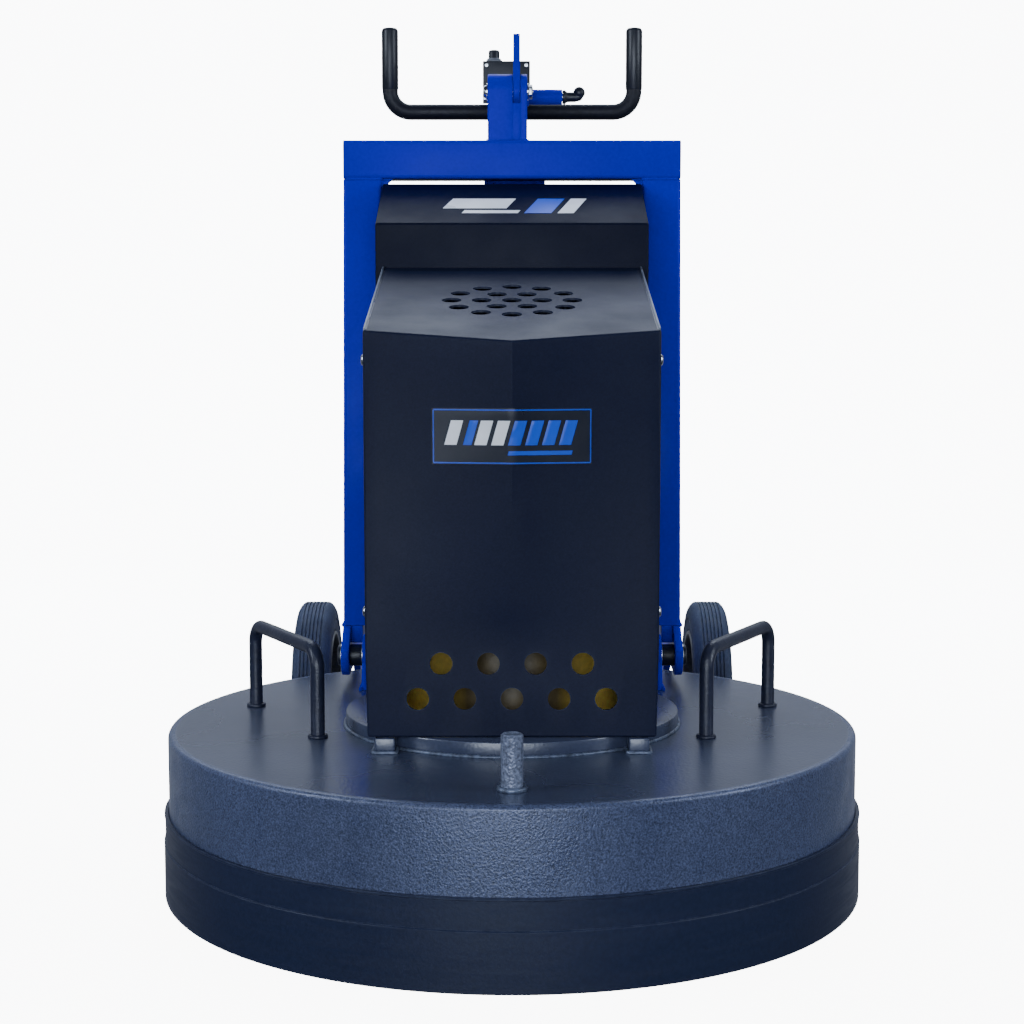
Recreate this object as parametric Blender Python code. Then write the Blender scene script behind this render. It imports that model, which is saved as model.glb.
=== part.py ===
"""Walk-behind planetary floor grinder with three tool heads, modelled in metres with +Z up.

Every size is worked out from the deck's axis at floor level. The whole machine is then moved
so that the world origin is the middle of its footprint on the floor. The front faces -Y.
"""

from math import asin, cos, pi, radians, sin, sqrt, tau

import bmesh
import bpy
from mathutils import Matrix, Vector

GAP = 0.0003             # seating gap between pieces that touch
RUN = 0.0005             # running clearance of a turning shaft
CUT = 0.02               # how far a cutter passes the wall it opens
REACH = 0.3              # half length of a cutter that goes right through

# Facets round a turned piece
FACETS_DECK = 64
FACETS_LARGE = 32
FACETS_SHAFT = 24
FACETS_SMALL = 16
FACETS_VENT = 10
FACETS_LIFT_BAR = 10
FACETS_BAR = 12
STEPS_LIFT_BEND = 4
STEPS_BAR_BEND = 5
STEPS_DECK_EDGE = 3

# Deck and skirt
DECK_R = 0.400
DECK_TOP = 0.188
DECK_PLATE = 0.008
DECK_WALL = 0.005
DECK_RIM_BOTTOM = 0.030
DECK_EDGE_R = 0.006
DECK_BORE_R = 0.060
SKIRT_TOP = 0.097
SKIRT_SEAM = 0.064
SKIRT_WALL = 0.004
SKIRT_STEP = 0.0015
SKIRT_PLAY = 0.0006
SKIRT_INNER_R = DECK_R + SKIRT_PLAY
SKIRT_R = SKIRT_INNER_R + SKIRT_WALL + SKIRT_STEP

# Flange, lift handles and post on the deck
FLANGE_R = 0.195
FLANGE_H = 0.0167
FLANGE_BOTTOM = DECK_TOP + GAP
FLANGE_TOP = FLANGE_BOTTOM + FLANGE_H
LUG_X = 0.139
LUG_FRONT = 0.172
LUG_SIZE = 0.022
LIFT_BAR_R = 0.008
LIFT_BEND_R = 0.022
LIFT_TOP = 0.297
LIFT_FEET = ((0.220, -0.090), (0.314, 0.090))
POST_Y = -0.335
POST_R = 0.0115
POST_WELD_R = 0.0155
POST_WELD_H = 0.005
POST_TOP = 0.246

# Planetary drive under the deck
HEADS = 3
HEAD_RADIUS = 0.240      # deck axis to each tool head's axis
TOOL_R = 0.135
TOOL_H = 0.030
TOOL_EDGE = 0.004
HEAD_PLATE_R = 0.140
HEAD_PLATE_H = 0.020
HEAD_NECK_R = 0.045
SPINDLE_R = 0.030
SPINDLE_TIP_R = 0.020
SPINDLE_TIP_END = 0.004  # spindle above its planet gear
CARRIER_R = 0.300
CARRIER_BOTTOM = 0.085
CARRIER_H = 0.015
CARRIER_HUB_R = 0.0445
SUN_TEETH = 36
PLANET_TEETH = 24
DRIVE_MODULE = 2 * HEAD_RADIUS / (SUN_TEETH + PLANET_TEETH)
DRIVE_GEAR_BOTTOM = 0.135
DRIVE_GEAR_H = 0.020
SUN_ROOT_R = DRIVE_MODULE * (SUN_TEETH / 2 - 1.25)
SUN_COLLAR_R = SUN_ROOT_R - 0.009
SUN_BORE_R = SUN_COLLAR_R - 0.025

# Gearbox and motor
MOTOR_Y = -0.060
OUTPUT_TEETH = 36
PINION_TEETH = 12
REDUCER_MODULE = 2 * abs(MOTOR_Y) / (OUTPUT_TEETH + PINION_TEETH)
REDUCER_BOTTOM = 0.225
REDUCER_H = 0.025
PINION_EXTRA = 0.003
OUTPUT_SHAFT_R = 0.020
OUTPUT_SHAFT_END = 0.010   # shaft above the output gear
GEARBOX_R = 0.135
GEARBOX_WALL = 0.008
GEARBOX_TOP = 0.315
GEARBOX_CHAMFER = 0.012
MOTOR_R = 0.090
MOTOR_WALL = 0.006
MOTOR_FLOOR = 0.010
MOTOR_TOP = 0.560
ROTOR_SHAFT_R = 0.008
ROTOR_R = 0.055
ROTOR_BOTTOM = 0.350
ROTOR_TOP = 0.500
AIR_GAP = 0.0006
COWL_TOP = 0.625
COWL_WALL = 0.002
COWL_LIP = 0.004
COWL_MOUTH_R = 0.062
FAN_R = 0.078
FAN_HUB_R = 0.020
FAN_BLADES = 8
FAN_BLADE = 0.004
FAN_BOTTOM = 0.580
FAN_H = 0.028
ROTOR_END = 0.002        # shaft above the fan

# Front cover: bent sheet with a prow that grows towards the top
COVER_HALF = 0.160
COVER_FRONT = -0.170
COVER_BACK = 0.150
COVER_FOLD = 0.308
COVER_CORNER = 0.648
COVER_SLOPE = radians(13.3)
COVER_PROW = 0.045
COVER_INSET = 0.002      # the lower panel stands this much inside the upper one
COVER_SHEET = 0.0025
VENT_R = 0.0123
VENT_PITCH = 0.0514
VENT_LOW_Z = 0.248
VENT_HIGH_Z = 0.287
TOP_VENT_Y = -0.027
TOP_VENT_R = 0.0115
TOP_VENT_PITCH = 0.0345
SCREW_Z = (0.341, 0.616)
SCREW_Y = -0.147
SCREW_HEAD_R = 0.0065
SCREW_HEAD_H = 0.0035
SCREW_CROWN = (0.0052, 0.00245)   # radius and height where the head's rim rounds off
SCREW_R = 0.003
SCREW_LENGTH = 0.012

# Pivot between the head and the wheeled frame
PIVOT_Y = 0.235
PIVOT_Z = DECK_TOP + 0.038
PIN_R = 0.010
BRACKET_X = 0.183
BRACKET_T = 0.010
BRACKET_EYE_R = 0.027
BRACKET_FOOT = (0.188, 0.286)
BUSH_R = 0.014
PIN_HEAD_T = 0.006
SIDE_CUT = (0.1, 0.3)    # a cutter through the plates on one side

# Wheeled frame
TUBE = 0.050
TUBE_WALL = 0.003
TUBE_CORNER_R = 0.004
WELD_VENT_R = 0.005      # vent into the closed top bar over each upright
FRAME_HALF = 0.2205
UPRIGHT_BOTTOM = PIVOT_Z + 0.036
UPRIGHT_FOOT_Y = 0.251
TOP_BAR_BOTTOM = 0.843
TOP_BAR_Y = 0.304
CROSS_BAR_TOP = 0.4197
CROSS_BAR_H = 0.040
ARM_T = 0.010
ARM_EYE_R = 0.026
ARM_SKIRT_GAP = 0.025    # skirt to the arm's crank
ARM_CRANK_RISE = 0.006
ARM_TOP_LEAD = 0.004     # arm's upper edge in front of the upright
ARM_TOP_RUN = 0.105      # arm's upper edge behind the upright
WHEEL_R = 0.128
WHEEL_W = 0.052
WHEEL_X = 0.280
WHEEL_SKIRT_GAP = 0.0551
WHEEL_Y = sqrt(SKIRT_R**2 - (WHEEL_X - WHEEL_W / 2)**2) + WHEEL_R + WHEEL_SKIRT_GAP
ARM_CRANK_Y = sqrt(SKIRT_R**2 - (FRAME_HALF - ARM_T)**2) + ARM_SKIRT_GAP
TYRE_BORE_R = 0.086
TYRE_SHOULDER = 0.008
TREAD_GROOVE = 0.0022
TREAD_GROOVE_HALF = 0.002
HUB_WEB = 0.006
HUB_RIM = 0.005
HUB_BOSS_R = 0.024
AXLE_R = 0.010
AXLE_COLLAR_R = 0.014
AXLE_END = 0.006

# Rear enclosure with the drive's inverter and its controls
CASE_SIDE_PLAY = 0.0015  # enclosure to upright
CASE_HALF = FRAME_HALF - TUBE - CASE_SIDE_PLAY
CASE_FRONT = 0.158
CASE_BACK = 0.400
CASE_BOTTOM = CROSS_BAR_TOP + GAP
CASE_RIDGE_Y = 0.300
CASE_TOP = TOP_BAR_BOTTOM - 0.007
CASE_FRONT_TOP = CASE_TOP - 0.058
CASE_SHEET = 0.002
PANEL_T = 0.003
INVERTER = (0.200, 0.110, CASE_FRONT_TOP - CASE_BOTTOM - 0.098)
INVERTER_CHAMFER = 0.004
INVERTER_Z = (CASE_BOTTOM + CASE_FRONT_TOP) / 2
ESTOP_AT = (-0.090, CASE_TOP - 0.096)
ESTOP_R = 0.020
ESTOP_STEM_R = 0.008
ESTOP_TRAVEL = 0.005
ESTOP_STEM_L = 0.020
ESTOP_RIM_H = 0.008
ESTOP_CROWN = (0.014, 0.013)      # radius and height where the mushroom rounds off
ESTOP_DOME_H = 0.015
KNOB_AT = (0.090, CASE_TOP - 0.096)
KNOB_R = 0.016
KNOB_STEM_R = 0.004
KNOB_H = 0.016
KNOB_STEM_L = 0.018
KNOB_TOP_R = 0.0136
INLET_AT = (0.0, CASE_BOTTOM + 0.060)
INLET_R = 0.024
INLET_H = 0.030
INLET_WALL = 0.003
INLET_FLOOR = 0.008

# Handle: mast with a clevis, toothless sector plate, clamp lever and U-shaped bar
SECTOR_X = 0.006
SECTOR_T = 0.009
SECTOR_R = 0.075
SECTOR_HUB_R = 0.022
SECTOR_FROM = radians(-25)
SECTOR_TO = radians(100)
HINGE_Y = TOP_BAR_Y + 0.048
HINGE_Z = TOP_BAR_BOTTOM + TUBE + 0.067
HINGE_BOLT_R = 0.006
HINGE_HEAD_R = 0.010
HINGE_HEAD_TOP_R = 0.008
HINGE_HEAD_H = 0.006
HINGE_NUT_H = 0.008
CLAMP_RADIUS = 0.060     # hinge to clamp stud
CLAMP_R = 0.005
TILT_DOWN = radians(40)
TILT_UP = radians(20)
CHEEK_LEFT = -0.032
CHEEK_RIGHT = 0.020
CHEEK_EYE_R = 0.023
CHEEK_SIDE_PLAY = 0.0005
SLEEVE_R = 0.0103
SLEEVE_END = 0.068
LEVER_STEM_R = 0.007
LEVER_STEM_END = 0.090
LEVER_BALL_R = 0.008
LEVER_RISE = 0.010
LEVER_BALL_OUT = 0.001
LEVER_NUT_R = 0.009
LEVER_NUT_H = 0.007
LEVER_COLLAR_R = 0.0095
LEVER_COLLAR_T = 0.004
MAST_PLATE = (-0.037, 0.044)
MAST_PLATE_T = 0.008
MAST_BASE_T = 0.007
MAST_PLATE_DROP = 0.006
MAST_PLATE_RISE = 0.004
SLEEVE_ROOT = 0.004      # sleeve inside the clevis cheek
BAR_Y = HINGE_Y + 0.248
BAR_R = 0.010
BAR_HALF = 0.178         # centre of the bar to each grip's axis
BAR_BEND_R = 0.030
GRIP_TOP = HINGE_Z + 0.120
STEM_R = 0.011

# Switch block on the handle
BLOCK_X = (-0.042, 0.026)
BLOCK_NECK = (-0.018, 0.018)
BLOCK_STEP = 0.006       # chamfer's foot left of the neck
BLOCK_Y = (BAR_Y - 0.026, BAR_Y + 0.018)
BLOCK_NECK_TOP = HINGE_Z + 0.026
BLOCK_LOW = HINGE_Z + 0.034
BLOCK_HIGH = HINGE_Z + 0.070
BUTTON_X = -0.026
BUTTON_R = 0.008
BUTTON_COLLAR_R = 0.0095
BUTTON_COLLAR_H = 0.006
BUTTON_COLLAR_ROOT = 0.004
BUTTON_EDGE = 0.0015
BUTTON_TOP = BLOCK_HIGH + 0.018
BUTTON_TRAVEL = 0.004
BUTTON_SEAT = 0.012      # depth of the button's bore below the block's top

# The machine is centred on its footprint between the skirt's front and the tyres' back.
DECK_AXIS_Y = (SKIRT_R - (WHEEL_Y + WHEEL_R)) / 2

POWDER_BLACK = ((0.020, 0.022, 0.032), 0.45, 0.0)
HAMMER_GREY = ((0.050, 0.056, 0.070), 0.50, 0.3)
BLUE = ((0.005, 0.070, 0.610), 0.35, 0.0)
RUBBER = ((0.012, 0.013, 0.017), 0.75, 0.0)
TYRE_GREY = ((0.045, 0.048, 0.055), 0.80, 0.0)
STEEL = ((0.560, 0.570, 0.580), 0.30, 1.0)
CAST = ((0.620, 0.460, 0.120), 0.45, 0.0)
PLASTIC = ((0.015, 0.015, 0.018), 0.40, 0.0)
COPPER = ((0.700, 0.330, 0.180), 0.40, 1.0)
RED = ((0.550, 0.015, 0.015), 0.35, 0.0)
GREY = ((0.250, 0.260, 0.270), 0.50, 0.0)
DIAMOND = ((0.330, 0.300, 0.240), 0.70, 0.4)

AXES = {}


# ---------------------------------------------------------------- scene helpers

def clear_scene():
    for existing in list(bpy.data.objects):
        bpy.data.objects.remove(existing)


def principled(name, finish):
    colour, roughness, metallic = finish
    material = bpy.data.materials.new(name)
    material.use_nodes = True
    shader = material.node_tree.nodes["Principled BSDF"]
    shader.inputs["Base Color"].default_value = (*colour, 1)
    shader.inputs["Roughness"].default_value = roughness
    shader.inputs["Metallic"].default_value = metallic
    return material


def add_axis(name, at, parent=None):
    """An empty on a moving body's joint axis; at is measured from the deck's axis."""
    empty = bpy.data.objects.new(name + "_axis", None)
    bpy.context.collection.objects.link(empty)
    empty["at"] = at
    if parent:
        empty.parent = AXES[parent]
        empty.location = Vector(at) - Vector(AXES[parent]["at"])
    else:
        empty.location = Vector(at) + Vector((0, DECK_AXIS_Y, 0))
    AXES[name] = empty


def add_part(name, solid, finish, body, at=(0, 0, 0), turn=0.0):
    """A named piece on its body's axis; at is measured from the deck's axis, turn is about Z."""
    mesh = bpy.data.meshes.new(name)
    bmesh.ops.remove_doubles(solid, verts=solid.verts, dist=1e-7)
    bmesh.ops.recalc_face_normals(solid, faces=solid.faces)
    solid.to_mesh(mesh)
    solid.free()
    mesh.shade_smooth()
    mesh.set_sharp_from_angle(angle=radians(30))
    mesh.materials.append(principled(name, finish))
    piece = bpy.data.objects.new(name, mesh)
    bpy.context.collection.objects.link(piece)
    piece.parent = AXES[body]
    piece.location = Vector(at) - Vector(AXES[body]["at"])
    piece.rotation_euler.z = turn
    return piece


# ---------------------------------------------------------------- solid shapes

def boolean(base, tools, operation):
    """Base with every tool cut away (DIFFERENCE) or added (UNION)."""
    made = []
    for index, solid in enumerate([base, *tools]):
        mesh = bpy.data.meshes.new("tool")
        bmesh.ops.recalc_face_normals(solid, faces=solid.faces)
        solid.to_mesh(mesh)
        solid.free()
        made.append(bpy.data.objects.new(f"tool_{index}", mesh))
        bpy.context.collection.objects.link(made[-1])
    for tool in made[1:]:
        modifier = made[0].modifiers.new("boolean", "BOOLEAN")
        modifier.operation = operation
        modifier.object = tool
    evaluated = made[0].evaluated_get(bpy.context.evaluated_depsgraph_get())
    result = bmesh.new()
    result.from_mesh(evaluated.data)
    for tool in made:
        bpy.data.objects.remove(tool)
    return result


def cut(base, *tools):
    return boolean(base, tools, "DIFFERENCE")


def join(base, *tools):
    return boolean(base, tools, "UNION")


def box(low, high, bevel=0.0):
    solid = bmesh.new()
    bmesh.ops.create_cube(solid, size=1)
    size = Vector(high) - Vector(low)
    bmesh.ops.scale(solid, vec=size, verts=solid.verts)
    bmesh.ops.translate(solid, vec=Vector(low) + size / 2, verts=solid.verts)
    if bevel:
        bmesh.ops.bevel(solid, geom=solid.edges, offset=bevel, segments=1, affect="EDGES", profile=0.5)
    return solid


def prism(outline, low, high, along="Z"):
    """An outline extruded along one axis; its points are (Y, Z) along X, (X, Z) along Y."""
    places = {"X": lambda a, b: (low, a, b), "Y": lambda a, b: (a, low, b), "Z": lambda a, b: (a, b, low)}
    steps = {"X": (high - low, 0, 0), "Y": (0, high - low, 0), "Z": (0, 0, high - low)}
    solid = bmesh.new()
    face = solid.faces.new([solid.verts.new(places[along](*point)) for point in outline])
    grown = bmesh.ops.extrude_face_region(solid, geom=[face])
    moved = [item for item in grown["geom"] if isinstance(item, bmesh.types.BMVert)]
    bmesh.ops.translate(solid, vec=steps[along], verts=moved)
    return solid


def turned(profile, segments, along="Z", at=(0, 0, 0)):
    """A profile of (radius, height) points turned about an axis through at."""
    solid = bmesh.new()
    points = [solid.verts.new((radius, 0, height)) for radius, height in profile]
    on_axis = profile[0][0] == 0 and profile[-1][0] == 0
    pairs = list(zip(points, points[1:])) + ([] if on_axis else [(points[-1], points[0])])
    edges = [solid.edges.new(pair) for pair in pairs]
    bmesh.ops.spin(solid, geom=points + edges, cent=(0, 0, 0), axis=(0, 0, 1), angle=tau,
                   steps=segments, use_merge=True, use_duplicate=False)
    bmesh.ops.remove_doubles(solid, verts=solid.verts, dist=1e-6)
    turns = {"X": Matrix.Rotation(pi / 2, 3, "Y"), "Y": Matrix.Rotation(-pi / 2, 3, "X"),
             "Z": Matrix.Identity(3)}
    bmesh.ops.transform(solid, matrix=turns[along].to_4x4(), verts=solid.verts)
    bmesh.ops.translate(solid, vec=at, verts=solid.verts)
    bmesh.ops.recalc_face_normals(solid, faces=solid.faces)
    return solid


def rod(radius, low, high, segments, along="Z", at=(0, 0, 0)):
    return turned([(0, low), (radius, low), (radius, high), (0, high)], segments, along, at)


def rounded_path(points, radius, steps):
    """The points with each inner corner replaced by an arc."""
    path = [Vector(points[0])]
    for before, corner, after in zip(points, points[1:], points[2:]):
        corner = Vector(corner)
        back = (Vector(before) - corner).normalized()
        ahead = (Vector(after) - corner).normalized()
        half = back.angle(ahead) / 2
        centre = corner + (back + ahead).normalized() * radius / sin(half)
        start = corner + back * radius * cos(half) / sin(half) - centre
        side = -back * radius
        sweep = pi - 2 * half
        path += [centre + start * cos(sweep * i / steps) + side * sin(sweep * i / steps)
                 for i in range(steps + 1)]
    return path + [Vector(points[-1])]


def skin(solid, ring, following):
    """Faces between two closed rings with the same number of corners."""
    for i in range(len(ring)):
        solid.faces.new((ring[i - 1], ring[i], following[i], following[i - 1]))


def pipe(path, radius, sides):
    """A round bar along a path with flat ends."""
    solid = bmesh.new()
    steps = [(after - before).normalized() for before, after in zip(path, path[1:])]
    side = steps[0].orthogonal()
    rings = []
    for place, arriving, leaving in zip(path, [steps[0], *steps], [*steps, steps[-1]]):
        ahead = (arriving + leaving).normalized()
        side = (side - ahead * side.dot(ahead)).normalized()
        up = ahead.cross(side)
        angles = [tau * i / sides for i in range(sides)]
        rings.append([solid.verts.new(place + (side * cos(a) + up * sin(a)) * radius) for a in angles])
    for ring, following in zip(rings, rings[1:]):
        skin(solid, ring, following)
    solid.faces.new(rings[0])
    solid.faces.new(rings[-1])
    bmesh.ops.recalc_face_normals(solid, faces=solid.faces)
    return solid


def arc(centre, radius, start, end, steps):
    """Points on an arc in a plane; angles in radians."""
    angles = [start + (end - start) * i / steps for i in range(steps + 1)]
    return [(centre[0] + radius * cos(a), centre[1] + radius * sin(a)) for a in angles]


def gear_outline(teeth, module):
    """Straight-sided teeth with backlash; a tooth's middle lies on +X."""
    pitch = tau / teeth
    tip = module * (teeth / 2 + 0.9)
    root = module * (teeth / 2 - 1.25)
    outline = []
    for tooth in range(teeth):
        middle = tooth * pitch
        for radius, share in ((root, -0.30), (tip, -0.12), (tip, 0.12), (root, 0.30)):
            angle = middle + share * pitch
            outline.append((radius * cos(angle), radius * sin(angle)))
    return outline


def gear(teeth, module, height, bore):
    """A spur gear standing on z = 0."""
    blank = prism(gear_outline(teeth, module), 0, height)
    return cut(blank, rod(bore, -height, 2 * height, FACETS_SHAFT))


def square_tube(at_low, at_high, size, along):
    """A square tube with open ends; each end's middle is given, and both ends are cut level."""
    solid = bmesh.new()
    rings = []
    for half, radius in ((size / 2, TUBE_CORNER_R), (size / 2 - TUBE_WALL, TUBE_CORNER_R / 2)):
        corners = [(half - radius, half - radius, 0), (radius - half, half - radius, pi / 2),
                   (radius - half, radius - half, pi), (half - radius, radius - half, 1.5 * pi)]
        outline = [point for x, y, turn in corners for point in arc((x, y), radius, turn, turn + pi / 2, 2)]
        for end in (at_low, at_high):
            spots = [(a, b, 0) if along == "Z" else (0, a, b) for a, b in outline]
            rings.append([solid.verts.new(Vector(end) + Vector(spot)) for spot in spots])
    for first, second in ((0, 1), (2, 3), (0, 2), (1, 3)):
        skin(solid, rings[first], rings[second])
    bmesh.ops.recalc_face_normals(solid, faces=solid.faces)
    return solid


def mirrored(side, low, high):
    """A range of X on the left (side -1) or right (side +1), in rising order."""
    return sorted((side * low, side * high))


# ---------------------------------------------------------------- deck and skirt

def add_deck():
    edge = arc((DECK_R - DECK_EDGE_R, DECK_TOP - DECK_EDGE_R), DECK_EDGE_R, pi / 2, 0, STEPS_DECK_EDGE)
    inside = DECK_R - DECK_WALL
    under = DECK_TOP - DECK_PLATE
    profile = [(DECK_BORE_R, DECK_TOP), *edge, (DECK_R, DECK_RIM_BOTTOM), (inside, DECK_RIM_BOTTOM),
               (inside, under), (DECK_BORE_R, under)]
    add_part("deck_shell", turned(profile, FACETS_DECK), HAMMER_GREY, "head")


def add_skirt():
    upper = SKIRT_INNER_R + SKIRT_WALL
    profile = [(SKIRT_INNER_R, SKIRT_TOP), (upper, SKIRT_TOP), (upper, SKIRT_SEAM + SKIRT_STEP),
               (SKIRT_R, SKIRT_SEAM), (SKIRT_R, 0), (SKIRT_INNER_R, 0)]
    add_part("skirt", turned(profile, FACETS_DECK), RUBBER, "skirt")


def add_flange():
    ring = turned([(DECK_BORE_R, FLANGE_TOP), (FLANGE_R, FLANGE_TOP), (FLANGE_R, FLANGE_BOTTOM),
                   (DECK_BORE_R, FLANGE_BOTTOM)], FACETS_LARGE)
    lugs = [box((side * LUG_X - LUG_SIZE / 2, -LUG_FRONT, FLANGE_BOTTOM),
                (side * LUG_X + LUG_SIZE / 2, -LUG_FRONT / 2, FLANGE_TOP)) for side in (-1, 1)]
    add_part("base_flange", join(ring, *lugs), HAMMER_GREY, "head")


def add_lift_handle(side):
    """A bar bent into a U that stands on the deck."""
    floor = DECK_TOP + GAP
    (near_x, near_y), (far_x, far_y) = LIFT_FEET
    top = LIFT_TOP - LIFT_BAR_R
    corners = [(side * near_x, near_y, floor), (side * near_x, near_y, top),
               (side * far_x, far_y, top), (side * far_x, far_y, floor)]
    bar = pipe(rounded_path(corners, LIFT_BEND_R, STEPS_LIFT_BEND), LIFT_BAR_R, FACETS_LIFT_BAR)
    add_part(f"lift_handle_{'left' if side < 0 else 'right'}", bar, POWDER_BLACK, "head")


def add_post():
    floor = DECK_TOP + GAP
    profile = [(0, floor), (POST_WELD_R, floor), (POST_R, floor + POST_WELD_H), (POST_R, POST_TOP), (0, POST_TOP)]
    add_part("front_post", turned(profile, FACETS_SMALL, at=(0, POST_Y, 0)), HAMMER_GREY, "head")


# ---------------------------------------------------------------- drive under the deck

def head_angle(index):
    return pi / 2 + tau * index / HEADS


def add_sun_gear():
    under = DECK_TOP - DECK_PLATE - GAP
    top = DRIVE_GEAR_BOTTOM + DRIVE_GEAR_H
    teeth = prism(gear_outline(SUN_TEETH, DRIVE_MODULE), DRIVE_GEAR_BOTTOM, top)
    collar = rod(SUN_COLLAR_R, top - DRIVE_GEAR_H / 2, under, FACETS_SHAFT)
    bore = rod(SUN_BORE_R, 0, DECK_TOP, FACETS_SHAFT)
    add_part("sun_gear", cut(join(teeth, collar), bore), STEEL, "head", turn=pi / 2)


def add_carrier():
    top = CARRIER_BOTTOM + CARRIER_H
    shaft_top = REDUCER_BOTTOM + REDUCER_H + OUTPUT_SHAFT_END
    profile = [(0, CARRIER_BOTTOM), (CARRIER_R, CARRIER_BOTTOM), (CARRIER_R, top), (CARRIER_HUB_R, top),
               (CARRIER_HUB_R, FLANGE_TOP), (OUTPUT_SHAFT_R, FLANGE_TOP), (OUTPUT_SHAFT_R, shaft_top),
               (0, shaft_top)]
    bores = [rod(SPINDLE_R + RUN, 0, DECK_TOP, FACETS_SHAFT,
                 at=(HEAD_RADIUS * cos(head_angle(i)), HEAD_RADIUS * sin(head_angle(i)), 0))
             for i in range(HEADS)]
    add_part("carrier", cut(turned(profile, FACETS_LARGE), *bores), GREY, "carrier")


def add_carrier_bearing():
    low, high = DECK_TOP - DECK_PLATE, FLANGE_TOP
    outer, inner = DECK_BORE_R - GAP, CARRIER_HUB_R + RUN
    add_part("carrier_bearing", turned([(inner, high), (outer, high), (outer, low), (inner, low)], FACETS_LARGE),
             STEEL, "head")


def add_tool_head(index):
    """One tool head: spindle plate, planet gear and abrasive disc, all turning together."""
    body = f"tool_head_{index + 1}"
    angle = head_angle(index)
    at = (HEAD_RADIUS * cos(angle), HEAD_RADIUS * sin(angle), 0)
    add_axis(body, at, "carrier")
    plate_low = TOOL_H + GAP
    plate_top = plate_low + HEAD_PLATE_H
    neck_top = CARRIER_BOTTOM - GAP
    shoulder = CARRIER_BOTTOM + CARRIER_H + RUN
    tip = DRIVE_GEAR_BOTTOM + DRIVE_GEAR_H + SPINDLE_TIP_END
    profile = [(0, plate_low), (HEAD_PLATE_R, plate_low), (HEAD_PLATE_R, plate_top), (HEAD_NECK_R, plate_top),
               (HEAD_NECK_R, neck_top), (SPINDLE_R, neck_top), (SPINDLE_R, shoulder),
               (SPINDLE_TIP_R, shoulder), (SPINDLE_TIP_R, tip), (0, tip)]
    add_part(f"spindle_plate_{index + 1}", turned(profile, FACETS_SHAFT), GREY, body, at)
    planet = gear(PLANET_TEETH, DRIVE_MODULE, DRIVE_GEAR_H, SPINDLE_TIP_R + GAP)
    half_tooth = pi / PLANET_TEETH
    add_part(f"planet_gear_{index + 1}", planet, STEEL, body, (at[0], at[1], DRIVE_GEAR_BOTTOM),
             angle + pi + half_tooth)
    disc = turned([(0, 0), (TOOL_R - TOOL_EDGE, 0), (TOOL_R, TOOL_EDGE), (TOOL_R, TOOL_H), (0, TOOL_H)], FACETS_SHAFT)
    add_part(f"tool_disc_{index + 1}", disc, DIAMOND, body, at)


# ---------------------------------------------------------------- gearbox and motor

def add_gearbox():
    floor = FLANGE_TOP + GAP
    inside = GEARBOX_R - GEARBOX_WALL
    ceiling = GEARBOX_TOP - GEARBOX_WALL
    profile = [(0, GEARBOX_TOP), (GEARBOX_R - GEARBOX_CHAMFER, GEARBOX_TOP), (GEARBOX_R, GEARBOX_TOP - GEARBOX_CHAMFER),
               (GEARBOX_R, floor), (inside, floor), (inside, ceiling), (0, ceiling)]
    bore = rod(ROTOR_SHAFT_R + RUN, FLANGE_TOP, GEARBOX_TOP + CUT, FACETS_SMALL, at=(0, MOTOR_Y, 0))
    add_part("gearbox_housing", cut(turned(profile, FACETS_LARGE), bore), CAST, "head")
    reducer = gear(OUTPUT_TEETH, REDUCER_MODULE, REDUCER_H, OUTPUT_SHAFT_R + GAP)
    add_part("output_gear", reducer, STEEL, "carrier", (0, 0, REDUCER_BOTTOM), -pi / 2)


def add_motor():
    at = (0, MOTOR_Y, 0)
    low = GEARBOX_TOP + GAP
    inside = MOTOR_R - MOTOR_WALL
    floor = low + MOTOR_FLOOR
    bore = ROTOR_SHAFT_R + RUN
    housing = [(bore, low), (MOTOR_R, low), (MOTOR_R, MOTOR_TOP), (inside, MOTOR_TOP), (inside, floor), (bore, floor)]
    add_part("motor_housing", turned(housing, FACETS_SHAFT, at=at), CAST, "head")
    outer, inner = inside - GAP, ROTOR_R + AIR_GAP
    stator = [(inner, ROTOR_TOP), (outer, ROTOR_TOP), (outer, ROTOR_BOTTOM), (inner, ROTOR_BOTTOM)]
    add_part("stator", turned(stator, FACETS_SHAFT, at=at), COPPER, "head")
    skin = MOTOR_R + COWL_WALL
    cowl = [(MOTOR_R + GAP, MOTOR_TOP - COWL_LIP), (skin, MOTOR_TOP - COWL_LIP), (skin, COWL_TOP),
            (COWL_MOUTH_R, COWL_TOP), (COWL_MOUTH_R, COWL_TOP - COWL_WALL),
            (MOTOR_R + GAP, COWL_TOP - COWL_WALL)]
    add_part("fan_cowl", turned(cowl, FACETS_SHAFT, at=at), POWDER_BLACK, "head")


def fan_outline():
    """A hub with straight blades round it."""
    half = asin(FAN_BLADE / 2 / FAN_HUB_R)
    outline = []
    for blade in range(FAN_BLADES):
        middle = tau * blade / FAN_BLADES
        tip = asin(FAN_BLADE / 2 / FAN_R)
        for radius, offset in ((FAN_HUB_R, -half), (FAN_R, -tip), (FAN_R, tip), (FAN_HUB_R, half)):
            outline.append((radius * cos(middle + offset), radius * sin(middle + offset)))
    return outline


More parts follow.
